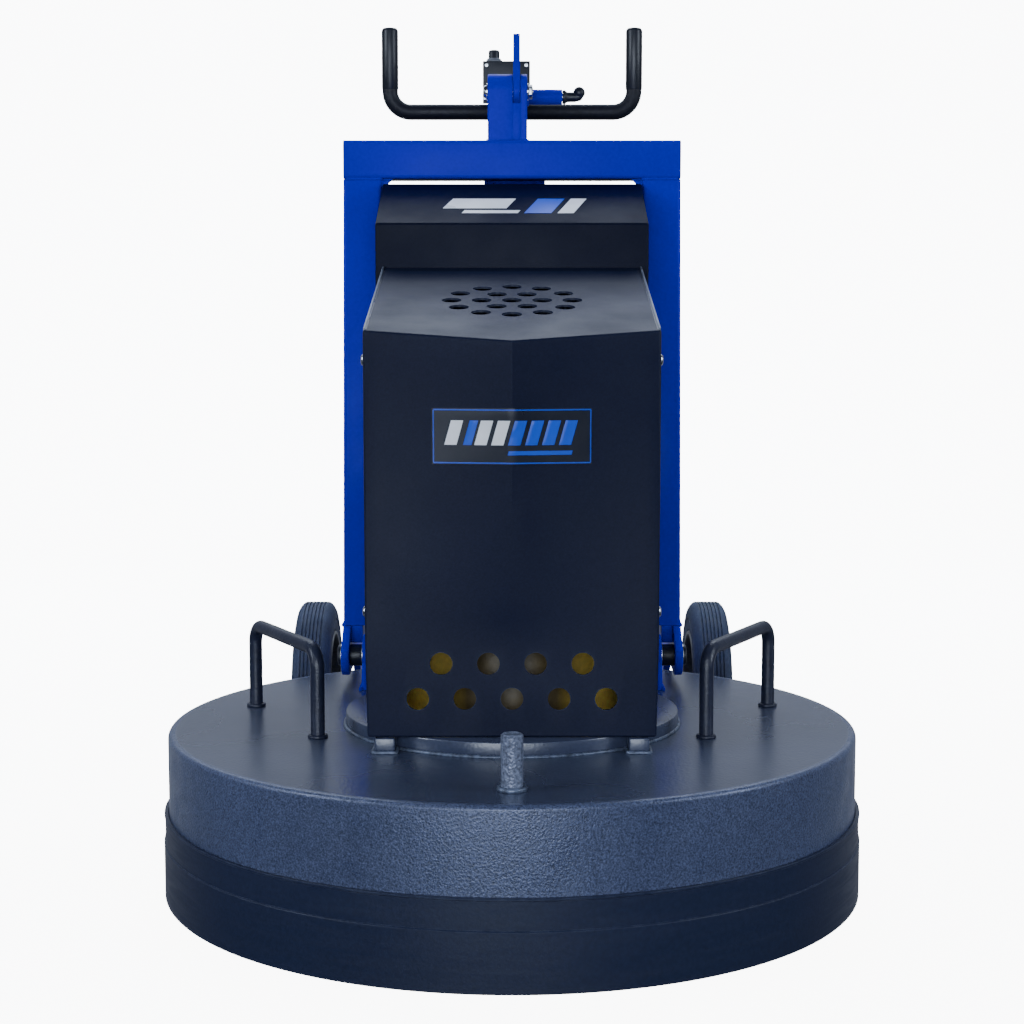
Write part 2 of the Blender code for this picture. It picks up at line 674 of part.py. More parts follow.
def add_rotor():
    at = (0, MOTOR_Y, 0)
    low = REDUCER_BOTTOM - PINION_EXTRA
    high = FAN_BOTTOM + FAN_H + ROTOR_END
    profile = [(0, low), (ROTOR_SHAFT_R, low), (ROTOR_SHAFT_R, ROTOR_BOTTOM), (ROTOR_R, ROTOR_BOTTOM),
               (ROTOR_R, ROTOR_TOP), (ROTOR_SHAFT_R, ROTOR_TOP), (ROTOR_SHAFT_R, high), (0, high)]
    add_part("motor_rotor", turned(profile, FACETS_SHAFT, at=at), STEEL, "rotor")
    pinion = gear(PINION_TEETH, REDUCER_MODULE, REDUCER_H + 2 * PINION_EXTRA, ROTOR_SHAFT_R + GAP)
    add_part("pinion_gear", pinion, STEEL, "rotor", (0, MOTOR_Y, low), pi / 2 + pi / PINION_TEETH)
    blades = cut(prism(fan_outline(), FAN_BOTTOM, FAN_BOTTOM + FAN_H),
                 rod(ROTOR_SHAFT_R + GAP, FAN_BOTTOM - CUT, FAN_BOTTOM + FAN_H + CUT, FACETS_SMALL))
    add_part("cooling_fan", blades, PLASTIC, "rotor", at)


# ---------------------------------------------------------------- front cover

def cover_height(y):
    """Height of the cover's sloping top at a depth y."""
    return COVER_CORNER + (y - COVER_FRONT) * sin(COVER_SLOPE) / cos(COVER_SLOPE)


def cover_solid(inset, low, back):
    """The cover's outer shape, shrunk by inset, from low upwards and from its prow to back."""
    half = COVER_HALF - inset
    front = COVER_FRONT + inset
    levels = [(low, half - COVER_INSET, front + COVER_INSET, 0), (COVER_FOLD - inset, half, front, 0),
              (None, half, front, COVER_PROW)]
    solid = bmesh.new()
    rings = []
    for height, wide, face, prow in levels:
        plan = [(-wide, face), (0, face - prow), (wide, face), (wide, back), (-wide, back)]
        rings.append([solid.verts.new((x, y, cover_height(y) - inset if height is None else height))
                      for x, y in plan])
    for lower, upper in zip(rings, rings[1:]):
        skin(solid, lower, upper)
    solid.faces.new(rings[0])
    solid.faces.new(rings[-1])
    bmesh.ops.triangulate(solid, faces=solid.faces)
    bmesh.ops.recalc_face_normals(solid, faces=solid.faces)
    return solid


def front_vents():
    """Two rows of round holes in the lower panel."""
    spots = [(VENT_PITCH * (i - 2), VENT_LOW_Z) for i in range(5)]
    spots += [(VENT_PITCH * (i - 1.5), VENT_HIGH_Z) for i in range(4)]
    return [rod(VENT_R, COVER_FRONT - CUT, COVER_FRONT + CUT, FACETS_VENT, "Y", (x, 0, z)) for x, z in spots]


def top_vents():
    """A round field of holes over the motor's fan: one, six and twelve."""
    spots = [(0, 0)] + [(TOP_VENT_PITCH * ring, tau * i / (6 * ring)) for ring in (1, 2) for i in range(6 * ring)]
    return [rod(TOP_VENT_R, MOTOR_TOP, cover_height(COVER_BACK), FACETS_VENT,
                at=(r * cos(a), TOP_VENT_Y + r * sin(a), 0)) for r, a in spots]


def add_cover():
    outer = cover_solid(0, FLANGE_TOP + GAP, COVER_BACK)
    inner = cover_solid(COVER_SHEET, FLANGE_TOP - CUT, COVER_BACK + CUT)
    screw_bores = [rod(SCREW_R + GAP, -REACH, REACH, FACETS_VENT, "X", (0, SCREW_Y, z)) for z in SCREW_Z]
    add_part("front_cover", cut(outer, inner, *front_vents(), *top_vents(), *screw_bores),
             POWDER_BLACK, "head")
    for side, name in ((-1, "left"), (1, "right")):
        for z, level in zip(SCREW_Z, ("lower", "upper")):
            add_cover_screw(f"cover_screw_{level}_{name}", side, z)


def add_cover_screw(name, side, z):
    face = COVER_HALF + GAP
    profile = [(0, face - SCREW_LENGTH), (SCREW_R, face - SCREW_LENGTH), (SCREW_R, face), (SCREW_HEAD_R, face),
               (SCREW_CROWN[0], face + SCREW_CROWN[1]), (0, face + SCREW_HEAD_H)]
    turned_side = [(radius, side * height) for radius, height in profile]
    add_part(name, turned(turned_side, FACETS_VENT, "X", (0, SCREW_Y, z)), STEEL, "head")


# ---------------------------------------------------------------- pivot

def add_bracket(side):
    """Upright plate on the deck with an eye for the pivot pin."""
    floor = DECK_TOP + GAP
    foot_low, foot_high = BRACKET_FOOT
    eye = arc((PIVOT_Y, PIVOT_Z), BRACKET_EYE_R, radians(-15), radians(195), 12)
    plate = prism([(foot_low, floor), (foot_high, floor), *eye],
                  *mirrored(side, BRACKET_X, BRACKET_X + BRACKET_T), "X")
    bore = rod(PIN_R + GAP, *mirrored(side, *SIDE_CUT), FACETS_SMALL, "X", (0, PIVOT_Y, PIVOT_Z))
    add_part(f"pivot_bracket_{'left' if side < 0 else 'right'}", cut(plate, bore), BLUE, "head")


def add_pivot_pin(side):
    """Pin with a head inside the bracket and a bush between bracket and arm."""
    bracket_out = BRACKET_X + BRACKET_T
    arm_in = FRAME_HALF - ARM_T
    profile = [(0, BRACKET_X - GAP - PIN_HEAD_T), (BUSH_R, BRACKET_X - GAP - PIN_HEAD_T), (BUSH_R, BRACKET_X - GAP),
               (PIN_R, BRACKET_X - GAP), (PIN_R, bracket_out + GAP), (BUSH_R, bracket_out + GAP),
               (BUSH_R, arm_in - GAP), (PIN_R, arm_in - GAP), (PIN_R, FRAME_HALF + GAP),
               (BUSH_R, FRAME_HALF + GAP), (BUSH_R, FRAME_HALF + PIN_HEAD_T), (0, FRAME_HALF + PIN_HEAD_T)]
    sided = [(radius, side * height) for radius, height in profile]
    add_part(f"pivot_pin_{'left' if side < 0 else 'right'}",
             turned(sided, FACETS_SMALL, "X", (0, PIVOT_Y, PIVOT_Z)), PLASTIC, "head")


# ---------------------------------------------------------------- wheeled frame

def upright_y(z):
    """Front face of the leaning uprights at a height z."""
    rise = (z - UPRIGHT_BOTTOM) / (TOP_BAR_BOTTOM - UPRIGHT_BOTTOM)
    return UPRIGHT_FOOT_Y + rise * (TOP_BAR_Y - UPRIGHT_FOOT_Y)


def add_frame():
    half = TUBE / 2
    for side, name in ((-1, "left"), (1, "right")):
        x = side * (FRAME_HALF - half)
        top = TOP_BAR_BOTTOM - GAP
        leg = square_tube((x, UPRIGHT_FOOT_Y + half, UPRIGHT_BOTTOM), (x, TOP_BAR_Y + half, top), TUBE, "Z")
        add_part(f"upright_{name}", leg, BLUE, "chassis")
        add_wheel_arm(side, name)
    bar = box((-FRAME_HALF, TOP_BAR_Y, TOP_BAR_BOTTOM), (FRAME_HALF, TOP_BAR_Y + TUBE, TOP_BAR_BOTTOM + TUBE),
              TUBE_CORNER_R)
    hollow = box((TUBE_WALL - FRAME_HALF, TOP_BAR_Y + TUBE_WALL, TOP_BAR_BOTTOM + TUBE_WALL),
                 (FRAME_HALF - TUBE_WALL, TOP_BAR_Y + TUBE - TUBE_WALL, TOP_BAR_BOTTOM + TUBE - TUBE_WALL))
    vents = [rod(WELD_VENT_R, TOP_BAR_BOTTOM - TUBE_WALL, TOP_BAR_BOTTOM + half, FACETS_VENT,
                 at=(side * (FRAME_HALF - half), TOP_BAR_Y + half, 0)) for side in (-1, 1)]
    add_part("frame_top_bar", cut(bar, join(hollow, *vents)), BLUE, "chassis")
    reach = FRAME_HALF - TUBE - GAP
    cross_z = CROSS_BAR_TOP - CROSS_BAR_H / 2
    cross_y = upright_y(cross_z) + half
    cross = square_tube((-reach, cross_y, cross_z), (reach, cross_y, cross_z), CROSS_BAR_H, "X")
    add_part("frame_cross_bar", cross, BLUE, "chassis")


def add_wheel_arm(side, name):
    """Cranked plate from the pivot over the deck's edge down to the axle."""
    top = UPRIGHT_BOTTOM - GAP
    low = PIVOT_Z - ARM_EYE_R
    outline = [*arc((PIVOT_Y, PIVOT_Z), ARM_EYE_R, radians(160), radians(270), 6), (ARM_CRANK_Y, low + ARM_CRANK_RISE),
               *arc((WHEEL_Y, WHEEL_R), ARM_EYE_R, radians(215), radians(405), 10),
               (UPRIGHT_FOOT_Y + TUBE + ARM_TOP_RUN, top), (UPRIGHT_FOOT_Y - ARM_TOP_LEAD, top)]
    plate = prism(outline, *mirrored(side, FRAME_HALF - ARM_T, FRAME_HALF), "X")
    eye = rod(PIN_R + RUN, *mirrored(side, *SIDE_CUT), FACETS_SMALL, "X", (0, PIVOT_Y, PIVOT_Z))
    seat = rod(AXLE_R + GAP, *mirrored(side, *SIDE_CUT), FACETS_SMALL, "X", (0, WHEEL_Y, WHEEL_R))
    add_part(f"wheel_arm_{name}", cut(plate, eye, seat), BLUE, "chassis")


def add_axle():
    """Axle with a collar on each side of each wheel."""
    inner = WHEEL_X - WHEEL_W / 2 - RUN
    outer = WHEEL_X + WHEEL_W / 2 + RUN
    arm = FRAME_HALF + GAP
    half = [(AXLE_R, arm), (AXLE_COLLAR_R, arm), (AXLE_COLLAR_R, inner), (AXLE_R, inner), (AXLE_R, outer),
            (AXLE_COLLAR_R, outer), (AXLE_COLLAR_R, outer + AXLE_END), (0, outer + AXLE_END)]
    profile = [(radius, -x) for radius, x in reversed(half)] + half
    add_part("axle", turned(profile, FACETS_SMALL, "X", (0, WHEEL_Y, WHEEL_R)), STEEL, "chassis")


def add_wheel(side):
    name = "left" if side < 0 else "right"
    at = (side * WHEEL_X, WHEEL_Y, WHEEL_R)
    half = WHEEL_W / 2
    face = WHEEL_R - TYRE_SHOULDER
    tread = half - TYRE_SHOULDER
    tyre = [(TYRE_BORE_R, -half), (face, -half), (WHEEL_R, -tread), (WHEEL_R, -TREAD_GROOVE_HALF),
            (WHEEL_R - TREAD_GROOVE, 0), (WHEEL_R, TREAD_GROOVE_HALF), (WHEEL_R, tread), (face, half), (TYRE_BORE_R, half)]
    add_part(f"tyre_{name}", turned(tyre, FACETS_LARGE, "X"), TYRE_GREY, f"wheel_{name}", at)
    rim = TYRE_BORE_R - GAP
    bore = AXLE_R + RUN
    hub = [(bore, -half), (HUB_BOSS_R, -half), (HUB_BOSS_R, -HUB_WEB / 2), (rim - HUB_RIM, -HUB_WEB / 2),
           (rim - HUB_RIM, -half), (rim, -half), (rim, half), (rim - HUB_RIM, half),
           (rim - HUB_RIM, HUB_WEB / 2), (HUB_BOSS_R, HUB_WEB / 2), (HUB_BOSS_R, half), (bore, half)]
    add_part(f"wheel_hub_{name}", turned(hub, FACETS_SMALL, "X"), GREY, f"wheel_{name}", at)


# ---------------------------------------------------------------- rear enclosure

def case_outline(inset, back):
    top = CASE_TOP - inset
    return [(CASE_FRONT + inset, CASE_BOTTOM + inset), (back, CASE_BOTTOM + inset), (back, top),
            (CASE_RIDGE_Y, top), (CASE_FRONT + inset, CASE_FRONT_TOP - inset)]


def add_case():
    outer = prism(case_outline(0, CASE_BACK), -CASE_HALF, CASE_HALF, "X")
    inside = CASE_HALF - CASE_SHEET
    inner = prism(case_outline(CASE_SHEET, CASE_BACK + CUT), -inside, inside, "X")
    add_part("rear_enclosure", cut(outer, inner), POWDER_BLACK, "chassis")
    low = CASE_BACK + GAP
    panel = box((-CASE_HALF, low, CASE_BOTTOM), (CASE_HALF, low + PANEL_T, CASE_TOP))
    bores = [rod(radius, CASE_BACK - CUT, CASE_BACK + CUT, FACETS_SMALL, "Y", (x, 0, z))
             for (x, z), radius in ((ESTOP_AT, ESTOP_STEM_R + RUN), (KNOB_AT, KNOB_STEM_R + RUN))]
    add_part("control_panel", cut(panel, *bores), POWDER_BLACK, "chassis")
    wide, deep, tall = INVERTER
    front = CASE_FRONT + CASE_SHEET + GAP
    add_part("inverter", box((-wide / 2, front, INVERTER_Z - tall / 2),
                             (wide / 2, front + deep, INVERTER_Z + tall / 2), INVERTER_CHAMFER), GREY, "chassis")


def add_controls():
    face = CASE_BACK + GAP + PANEL_T
    at = (ESTOP_AT[0], face, ESTOP_AT[1])
    add_axis("emergency_stop", at, "chassis")
    lift = ESTOP_TRAVEL + RUN
    mushroom = [(0, -ESTOP_STEM_L), (ESTOP_STEM_R, -ESTOP_STEM_L), (ESTOP_STEM_R, lift), (ESTOP_R, lift),
                (ESTOP_R, lift + ESTOP_RIM_H), (ESTOP_CROWN[0], lift + ESTOP_CROWN[1]), (0, lift + ESTOP_DOME_H)]
    add_part("emergency_stop", turned(mushroom, FACETS_SMALL, "Y"), RED, "emergency_stop", at)
    at = (KNOB_AT[0], face, KNOB_AT[1])
    add_axis("speed_knob", at, "chassis")
    knob = [(0, -KNOB_STEM_L), (KNOB_STEM_R, -KNOB_STEM_L), (KNOB_STEM_R, RUN), (KNOB_R, RUN),
            (KNOB_TOP_R, KNOB_H), (0, KNOB_H)]
    add_part("speed_knob", turned(knob, FACETS_SMALL, "Y"), PLASTIC, "speed_knob", at)
    x, z = INLET_AT
    inlet = [(0, face + GAP), (INLET_R, face + GAP), (INLET_R, face + INLET_H), (INLET_R - INLET_WALL, face + INLET_H),
             (INLET_R - INLET_WALL, face + INLET_FLOOR), (0, face + INLET_FLOOR)]
    add_part("power_inlet", turned(inlet, FACETS_SMALL, "Y", (x, 0, z)), BLUE, "chassis")


# ---------------------------------------------------------------- handle

def slot_x():
    """The clevis slot's two faces, around the sector plate."""
    half = SECTOR_T / 2 + CHEEK_SIDE_PLAY
    return SECTOR_X - half, SECTOR_X + half


def add_mast():
    """Clevis on the top bar with the clamp's sleeve, on a plate behind the bar."""
    bar_top = TOP_BAR_BOTTOM + TUBE + GAP
    bar_back = TOP_BAR_Y + TUBE + GAP
    plate_back = bar_back + MAST_PLATE_T
    reach = CLAMP_RADIUS + SLEEVE_R
    front = HINGE_Y - CHEEK_EYE_R
    outline = [(front, bar_top), (plate_back, bar_top), (HINGE_Y + reach, HINGE_Z - SLEEVE_R),
               (HINGE_Y + reach, HINGE_Z + SLEEVE_R),
               *arc((HINGE_Y, HINGE_Z), CHEEK_EYE_R, radians(60), radians(180), 6)]
    cheeks = prism(outline, CHEEK_LEFT, CHEEK_RIGHT, "X")
    plate = box((MAST_PLATE[0], bar_back, TOP_BAR_BOTTOM - MAST_PLATE_DROP), (MAST_PLATE[1], plate_back, bar_top + MAST_PLATE_RISE))
    clamp_at = (0, HINGE_Y + CLAMP_RADIUS, HINGE_Z)
    sleeve = rod(SLEEVE_R, CHEEK_RIGHT - SLEEVE_ROOT, SLEEVE_END, FACETS_SMALL, "X", clamp_at)
    low, high = slot_x()
    slot = box((low, front - CUT, bar_top + MAST_BASE_T), (high, HINGE_Y + reach + CUT, HINGE_Z + REACH))
    rear_slot = box((low, plate_back + GAP, bar_top - CUT), (high, HINGE_Y + reach + CUT, HINGE_Z))
    bolt = rod(HINGE_BOLT_R + GAP, -REACH, REACH, FACETS_SMALL, "X", (0, HINGE_Y, HINGE_Z))
    stud = rod(CLAMP_R + RUN, -REACH, REACH, FACETS_SMALL, "X", clamp_at)
    mast = cut(join(cheeks, plate, sleeve), slot, rear_slot, bolt, stud)
    add_part("handle_mast", mast, BLUE, "chassis")


def add_hinge_bolt():
    """Bolt through the clevis: round head on the left, nut on the right."""
    left, right = CHEEK_LEFT - GAP, CHEEK_RIGHT + GAP
    profile = [(0, left - HINGE_HEAD_H), (HINGE_HEAD_TOP_R, left - HINGE_HEAD_H), (HINGE_HEAD_R, left), (HINGE_BOLT_R, left),
               (HINGE_BOLT_R, right), (HINGE_HEAD_R, right), (HINGE_HEAD_R, right + HINGE_NUT_H), (0, right + HINGE_NUT_H)]
    add_part("hinge_bolt", turned(profile, FACETS_SMALL, "X", (0, HINGE_Y, HINGE_Z)), STEEL, "chassis")


def add_sector_plate():
    """Plate that turns with the handle; the clamp stud runs in its curved slot."""
    centre = (HINGE_Y, HINGE_Z)
    hub_turn = radians(60)
    outline = [*arc(centre, SECTOR_R, SECTOR_FROM, SECTOR_TO, 14),
               *arc(centre, SECTOR_HUB_R, SECTOR_TO + hub_turn, SECTOR_FROM + tau - hub_turn, 6)]
    blank = prism(outline, SECTOR_X - SECTOR_T / 2, SECTOR_X + SECTOR_T / 2, "X")
    play = CLAMP_R + RUN
    start, end = -TILT_UP, TILT_DOWN
    closing = [(HINGE_Y + CLAMP_RADIUS * cos(a), HINGE_Z + CLAMP_RADIUS * sin(a)) for a in (end, start)]
    slot_outline = [*arc(centre, CLAMP_RADIUS + play, start, end, 6),
                    *arc(closing[0], play, end, end + pi, 5)[1:-1],
                    *arc(centre, CLAMP_RADIUS - play, end, start, 6),
                    *arc(closing[1], play, start + pi, start + tau, 5)[1:-1]]
    slot = prism(slot_outline, SECTOR_X - SECTOR_T, SECTOR_X + SECTOR_T, "X")
    bore = rod(HINGE_BOLT_R + RUN, -REACH, REACH, FACETS_SMALL, "X", (0, HINGE_Y, HINGE_Z))
    add_part("sector_plate", cut(blank, slot, bore), BLUE, "handle")


def add_handlebar():
    """U-shaped bar with a stem that meets the sector plate's rim."""
    corners = [(-BAR_HALF, BAR_Y, GRIP_TOP), (-BAR_HALF, BAR_Y, HINGE_Z), (BAR_HALF, BAR_Y, HINGE_Z),
               (BAR_HALF, BAR_Y, GRIP_TOP)]
    bar = pipe(rounded_path(corners, BAR_BEND_R, STEPS_BAR_BEND), BAR_R, FACETS_BAR)
    stem = rod(STEM_R, HINGE_Y + SECTOR_R + GAP, BAR_Y, FACETS_SMALL, "Y", (SECTOR_X, 0, HINGE_Z))
    add_part("handlebar", join(bar, stem), POWDER_BLACK, "handle")


def add_switch_block():
    """Housing clamped on the bar, with a collar and bore for the start button."""
    floor = HINGE_Z + STEM_R + GAP
    left, right = BLOCK_X
    neck_left, neck_right = BLOCK_NECK
    outline = [(neck_left, floor), (neck_right, floor), (neck_right, BLOCK_NECK_TOP), (right, BLOCK_LOW),
               (right, BLOCK_HIGH), (left, BLOCK_HIGH), (left, BLOCK_LOW), (neck_left - BLOCK_STEP, BLOCK_NECK_TOP)]
    housing = prism(outline, *BLOCK_Y, "Y")
    y = sum(BLOCK_Y) / 2
    collar = rod(BUTTON_COLLAR_R, BLOCK_HIGH - BUTTON_COLLAR_ROOT, BLOCK_HIGH + BUTTON_COLLAR_H, FACETS_SMALL, at=(BUTTON_X, y, 0))
    bore = rod(BUTTON_R + RUN, BLOCK_HIGH - BUTTON_SEAT, BUTTON_TOP, FACETS_SMALL, at=(BUTTON_X, y, 0))
    add_part("switch_block", cut(join(housing, collar), bore), PLASTIC, "handle")
    at = (BUTTON_X, y, BLOCK_HIGH)
    add_axis("start_button", at, "handle")
    low = BUTTON_TRAVEL + RUN - BUTTON_SEAT
    high = BUTTON_TOP - BLOCK_HIGH
    cap = [(0, low), (BUTTON_R, low), (BUTTON_R, high - BUTTON_EDGE), (BUTTON_R - BUTTON_EDGE, high), (0, high)]
    add_part("start_button", turned(cap, FACETS_SMALL), PLASTIC, "start_button", at)


def add_clamp_lever():
    """Stud through the clevis and the sector's slot, with a cranked ball lever."""
    at = (0, HINGE_Y + CLAMP_RADIUS, HINGE_Z)
    add_axis("clamp_lever", at, "chassis")
    nut, sleeve = CHEEK_LEFT - RUN, SLEEVE_END + RUN
    profile = [(0, nut - LEVER_NUT_H), (LEVER_NUT_R, nut - LEVER_NUT_H), (LEVER_NUT_R, nut), (CLAMP_R, nut),
               (CLAMP_R, sleeve), (LEVER_COLLAR_R, sleeve), (LEVER_COLLAR_R, sleeve + LEVER_COLLAR_T),
               (LEVER_STEM_R, sleeve + LEVER_COLLAR_T),
               (LEVER_STEM_R, LEVER_STEM_END), (0, LEVER_STEM_END)]
    ball = bmesh.new()
    bmesh.ops.create_uvsphere(ball, u_segments=12, v_segments=8, radius=LEVER_BALL_R)
    bmesh.ops.translate(ball, vec=(LEVER_STEM_END + LEVER_BALL_OUT, 0, LEVER_RISE - LEVER_BALL_R / 2), verts=ball.verts)
    add_part("clamp_lever", join(turned(profile, FACETS_SMALL, "X"), ball), STEEL, "clamp_lever", at)


def main():
    clear_scene()
    add_axis("head", (0, 0, 0))
    add_axis("skirt", (0, 0, 0), "head")
    add_axis("carrier", (0, 0, 0), "head")
    add_axis("rotor", (0, MOTOR_Y, 0), "head")
    add_axis("chassis", (0, PIVOT_Y, PIVOT_Z), "head")
    add_axis("handle", (0, HINGE_Y, HINGE_Z), "chassis")
    add_deck()
    add_skirt()
    add_flange()
    add_post()
    add_sun_gear()
    add_carrier()
    add_carrier_bearing()
    for index in range(HEADS):
        add_tool_head(index)
    add_gearbox()
    add_motor()
    add_rotor()
    add_cover()
    add_frame()
    add_axle()
    for side, name in ((-1, "left"), (1, "right")):
        add_axis(f"wheel_{name}", (side * WHEEL_X, WHEEL_Y, WHEEL_R), "chassis")
        add_lift_handle(side)
        add_bracket(side)
        add_pivot_pin(side)
        add_wheel(side)
    add_case()
    add_controls()
    add_mast()
    add_hinge_bolt()
    add_sector_plate()
    add_handlebar()
    add_switch_block()
    add_clamp_lever()


main()
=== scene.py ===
"""Walk-behind floor grinder: the finished look of its deck, cover, frame, wheels and handle.

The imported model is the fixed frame. Each operator builds one group of pieces on it, in metres, front facing -Y.
"""
from math import cos, pi, radians, sin, tan, tau

import bmesh
import bpy
from bpy.props import FloatProperty, FloatVectorProperty, IntProperty, PointerProperty
from mathutils import Matrix, Vector


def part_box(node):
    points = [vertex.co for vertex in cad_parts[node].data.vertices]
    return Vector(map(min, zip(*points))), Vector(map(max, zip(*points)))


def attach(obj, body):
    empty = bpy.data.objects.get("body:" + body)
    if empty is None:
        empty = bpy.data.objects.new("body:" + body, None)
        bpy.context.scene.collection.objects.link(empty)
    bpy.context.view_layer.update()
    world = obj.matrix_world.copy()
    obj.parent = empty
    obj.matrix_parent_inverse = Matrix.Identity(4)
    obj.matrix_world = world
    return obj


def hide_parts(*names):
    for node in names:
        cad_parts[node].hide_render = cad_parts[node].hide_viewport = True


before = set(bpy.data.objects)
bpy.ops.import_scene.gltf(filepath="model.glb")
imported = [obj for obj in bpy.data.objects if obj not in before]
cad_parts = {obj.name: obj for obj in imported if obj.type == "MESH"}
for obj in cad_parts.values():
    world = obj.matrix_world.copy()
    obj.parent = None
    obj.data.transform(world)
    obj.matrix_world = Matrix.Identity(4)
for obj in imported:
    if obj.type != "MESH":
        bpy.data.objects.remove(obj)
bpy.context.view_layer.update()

bl_info = {
    "name": "Floor Grinder Finish",
    "version": (1, 0, 0),
    "blender": (4, 5, 0),
    "location": "3D View > Sidebar > Grinder",
    "description": "Builds the visible pieces and the studio of a walk-behind floor grinder",
    "category": "Object",
}

ALONG = {"X": Vector((1, 0, 0)), "Y": Vector((0, 1, 0)), "Z": Vector((0, 0, 1))}
SIDES = ((-1, "left"), (1, "right"))


def low(node):
    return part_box(node)[0]


def high(node):
    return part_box(node)[1]


def middle(node):
    return (low(node) + high(node)) / 2


DECK_Y = middle("deck_shell").y
MOTOR_Y = middle("motor_housing").y
HINGE = Vector((0, middle("hinge_bolt").y, middle("hinge_bolt").z))
CLAMP = Vector((0, middle("clamp_lever").y, HINGE.z))


# ---------------------------------------------------------------- sizes and colours to change

def length(name, about, value):
    """A length in metres that the panel shows."""
    return FloatProperty(name=name, description=about, default=value, unit="LENGTH")


def lengths(name, about, values):
    return FloatVectorProperty(name=name, description=about, size=len(values), default=values, unit="LENGTH")


def angle(name, about, degrees):
    return FloatProperty(name=name, description=about, default=radians(degrees), subtype="ANGLE",
                         unit="ROTATION")


def count(name, about, value, least):
    return IntProperty(name=name, description=about, default=value, min=least)


def tint(name, about, colour):
    return FloatVectorProperty(name=name, description=about, subtype="COLOR", default=colour, min=0, max=1)


class GrinderDeckSizes(bpy.types.PropertyGroup):
    steps: count("Steps round", "Faces round the deck and the skirt", 180, 48)
    edge: length("Edge radius", "Radius of the deck's upper edge", 0.0055)
    skirt_step: length("Skirt step", "How far the skirt's lower band stands out", 0.0015)
    skirt_seam: length("Skirt seam", "Height of the skirt's lower band", 0.064)
    weld: length("Weld bead", "Radius of the weld beads on the deck", 0.0028)
    bar: length("Lift handle bar", "Radius of the lift handles' bar", 0.008)
    bend: length("Lift handle bend", "Bend radius of the lift handles", 0.022)


class GrinderToolSizes(bpy.types.PropertyGroup):
    segments: count("Segments", "Abrasive segments on each disc", 12, 3)
    segment_height: length("Segment height", "How far the segments stand out under the disc", 0.010)
    bolts: count("Plate bolts", "Bolts round each spindle plate", 6, 3)


class GrinderCoverSizes(bpy.types.PropertyGroup):
    sheet: length("Sheet", "Thickness of the cover's sheet", 0.0025)
    bend: length("Bend radius", "Radius of the sheet's bends", 0.0028)
    slope: angle("Top slope", "Fall of the cover's top towards the front", 13.3)
    prow: length("Prow", "How far the front's crease stands out at the top", 0.045)
    fold: length("Fold", "Height of the fold above the vents", 0.308)
    vent: length("Vent radius", "Radius of the front vents", 0.0123)
    vent_pitch: length("Vent pitch", "Distance between the front vents", 0.0514)
    vent_rows: lengths("Vent rows", "Heights of the lower and the upper row", (0.248, 0.287))
    top_vent: length("Top vent radius", "Radius of the holes over the fan", 0.0115)
    top_pitch: length("Top vent pitch", "Distance between the rings of holes over the fan", 0.0345)
    top_place: length("Top vent place", "Middle of the holes behind the deck's axis", -0.027)
    label: lengths("Label", "Width and height of the front label", (0.171, 0.060))
    label_height: length("Label place", "Height of the front label's middle", 0.536)


class GrinderFrameSizes(bpy.types.PropertyGroup):
    corner: length("Tube corner", "Corner radius of the square tube", 0.005)
    weld: length("Weld bead", "Radius of the frame's weld beads", 0.0022)
    gusset: length("Gusset", "Side of the small plates in the frame's inner corners", 0.014)
    eye: length("Arm eye", "Radius of the wheel arms' ends", 0.026)
    bracket_eye: length("Bracket eye", "Radius of the pivot brackets' ends", 0.027)
    shoe_gap: length("Shoe gap", "Gap between the upright's shoe and the pivot bracket", 0.0025)


class GrinderWheelSizes(bpy.types.PropertyGroup):
    steps: count("Steps round", "Faces round each tyre", 144, 48)
    grooves: count("Grooves", "Grooves round each tread", 6, 1)
    groove_depth: length("Groove depth", "Depth of the tread's grooves", 0.0022)
    bore: length("Tyre bore", "Radius of the hub's rim", 0.0857)
    bolts: count("Hub bolts", "Bolts round each hub", 5, 3)


class GrinderHandleSizes(bpy.types.PropertyGroup):
    bend: length("Bend radius", "Bend radius of the handlebar", 0.030)
    bar: length("Bar", "Radius of the handlebar", 0.0113)
    grip_length: length("Grip length", "Length of each grip sleeve", 0.084)
    cheek: lengths("Clevis faces", "Left and right faces of the clevis", (-0.032, 0.020))
    sleeve: length("Clamp sleeve", "Radius of the clamp's sleeve", 0.0103)


class GrinderColours(bpy.types.PropertyGroup):
    blue: tint("Frame blue", "Paint of the frame", (0.0000, 0.0020, 0.4200))
    cover: tint("Cover black", "Powder coat of the cover and the enclosure", (0.0065, 0.0090, 0.0260))
    deck: tint("Deck grey", "Hammered paint of the deck", (0.0560, 0.0700, 0.1280))
    rubber: tint("Skirt rubber", "Rubber of the skirt", (0.0105, 0.0155, 0.0390))
    tyre: tint("Tyre rubber", "Rubber of the tyres", (0.0330, 0.0440, 0.0830))
    cast: tint("Gear case", "Yellow paint of the gear case and the motor", (0.9200, 0.6400, 0.1200))
    label: tint("Label blue", "Blue of the label's bars and border", (0.0080, 0.0700, 0.5600))


class GrinderStageSizes(bpy.types.PropertyGroup):
    lens: FloatProperty(name="Lens", description="Focal length in millimetres", default=67.3)
    distance: length("Distance", "Camera in front of the deck's axis", 2.225)
    height: length("Height", "Camera above the floor", 0.657)
    pitch: angle("Pitch", "How far the camera looks down", 5.67)
    floor: length("Floor", "Side of the floor", 16.0)
    wall: length("Wall", "Where the paper sweep stands upright behind the grinder", 4.6)


# ---------------------------------------------------------------- mesh helpers

def soften(solid, width, steps=2, over=30):
    """Rounds every edge that turns by more than an angle in degrees."""
    edges = [e for e in solid.edges if e.is_manifold and e.calc_face_angle() > radians(over)]
    bmesh.ops.bevel(solid, geom=edges, offset=width, offset_type="OFFSET", segments=steps, profile=0.5,
                    affect="EDGES", clamp_overlap=True, material=-1)
    return solid


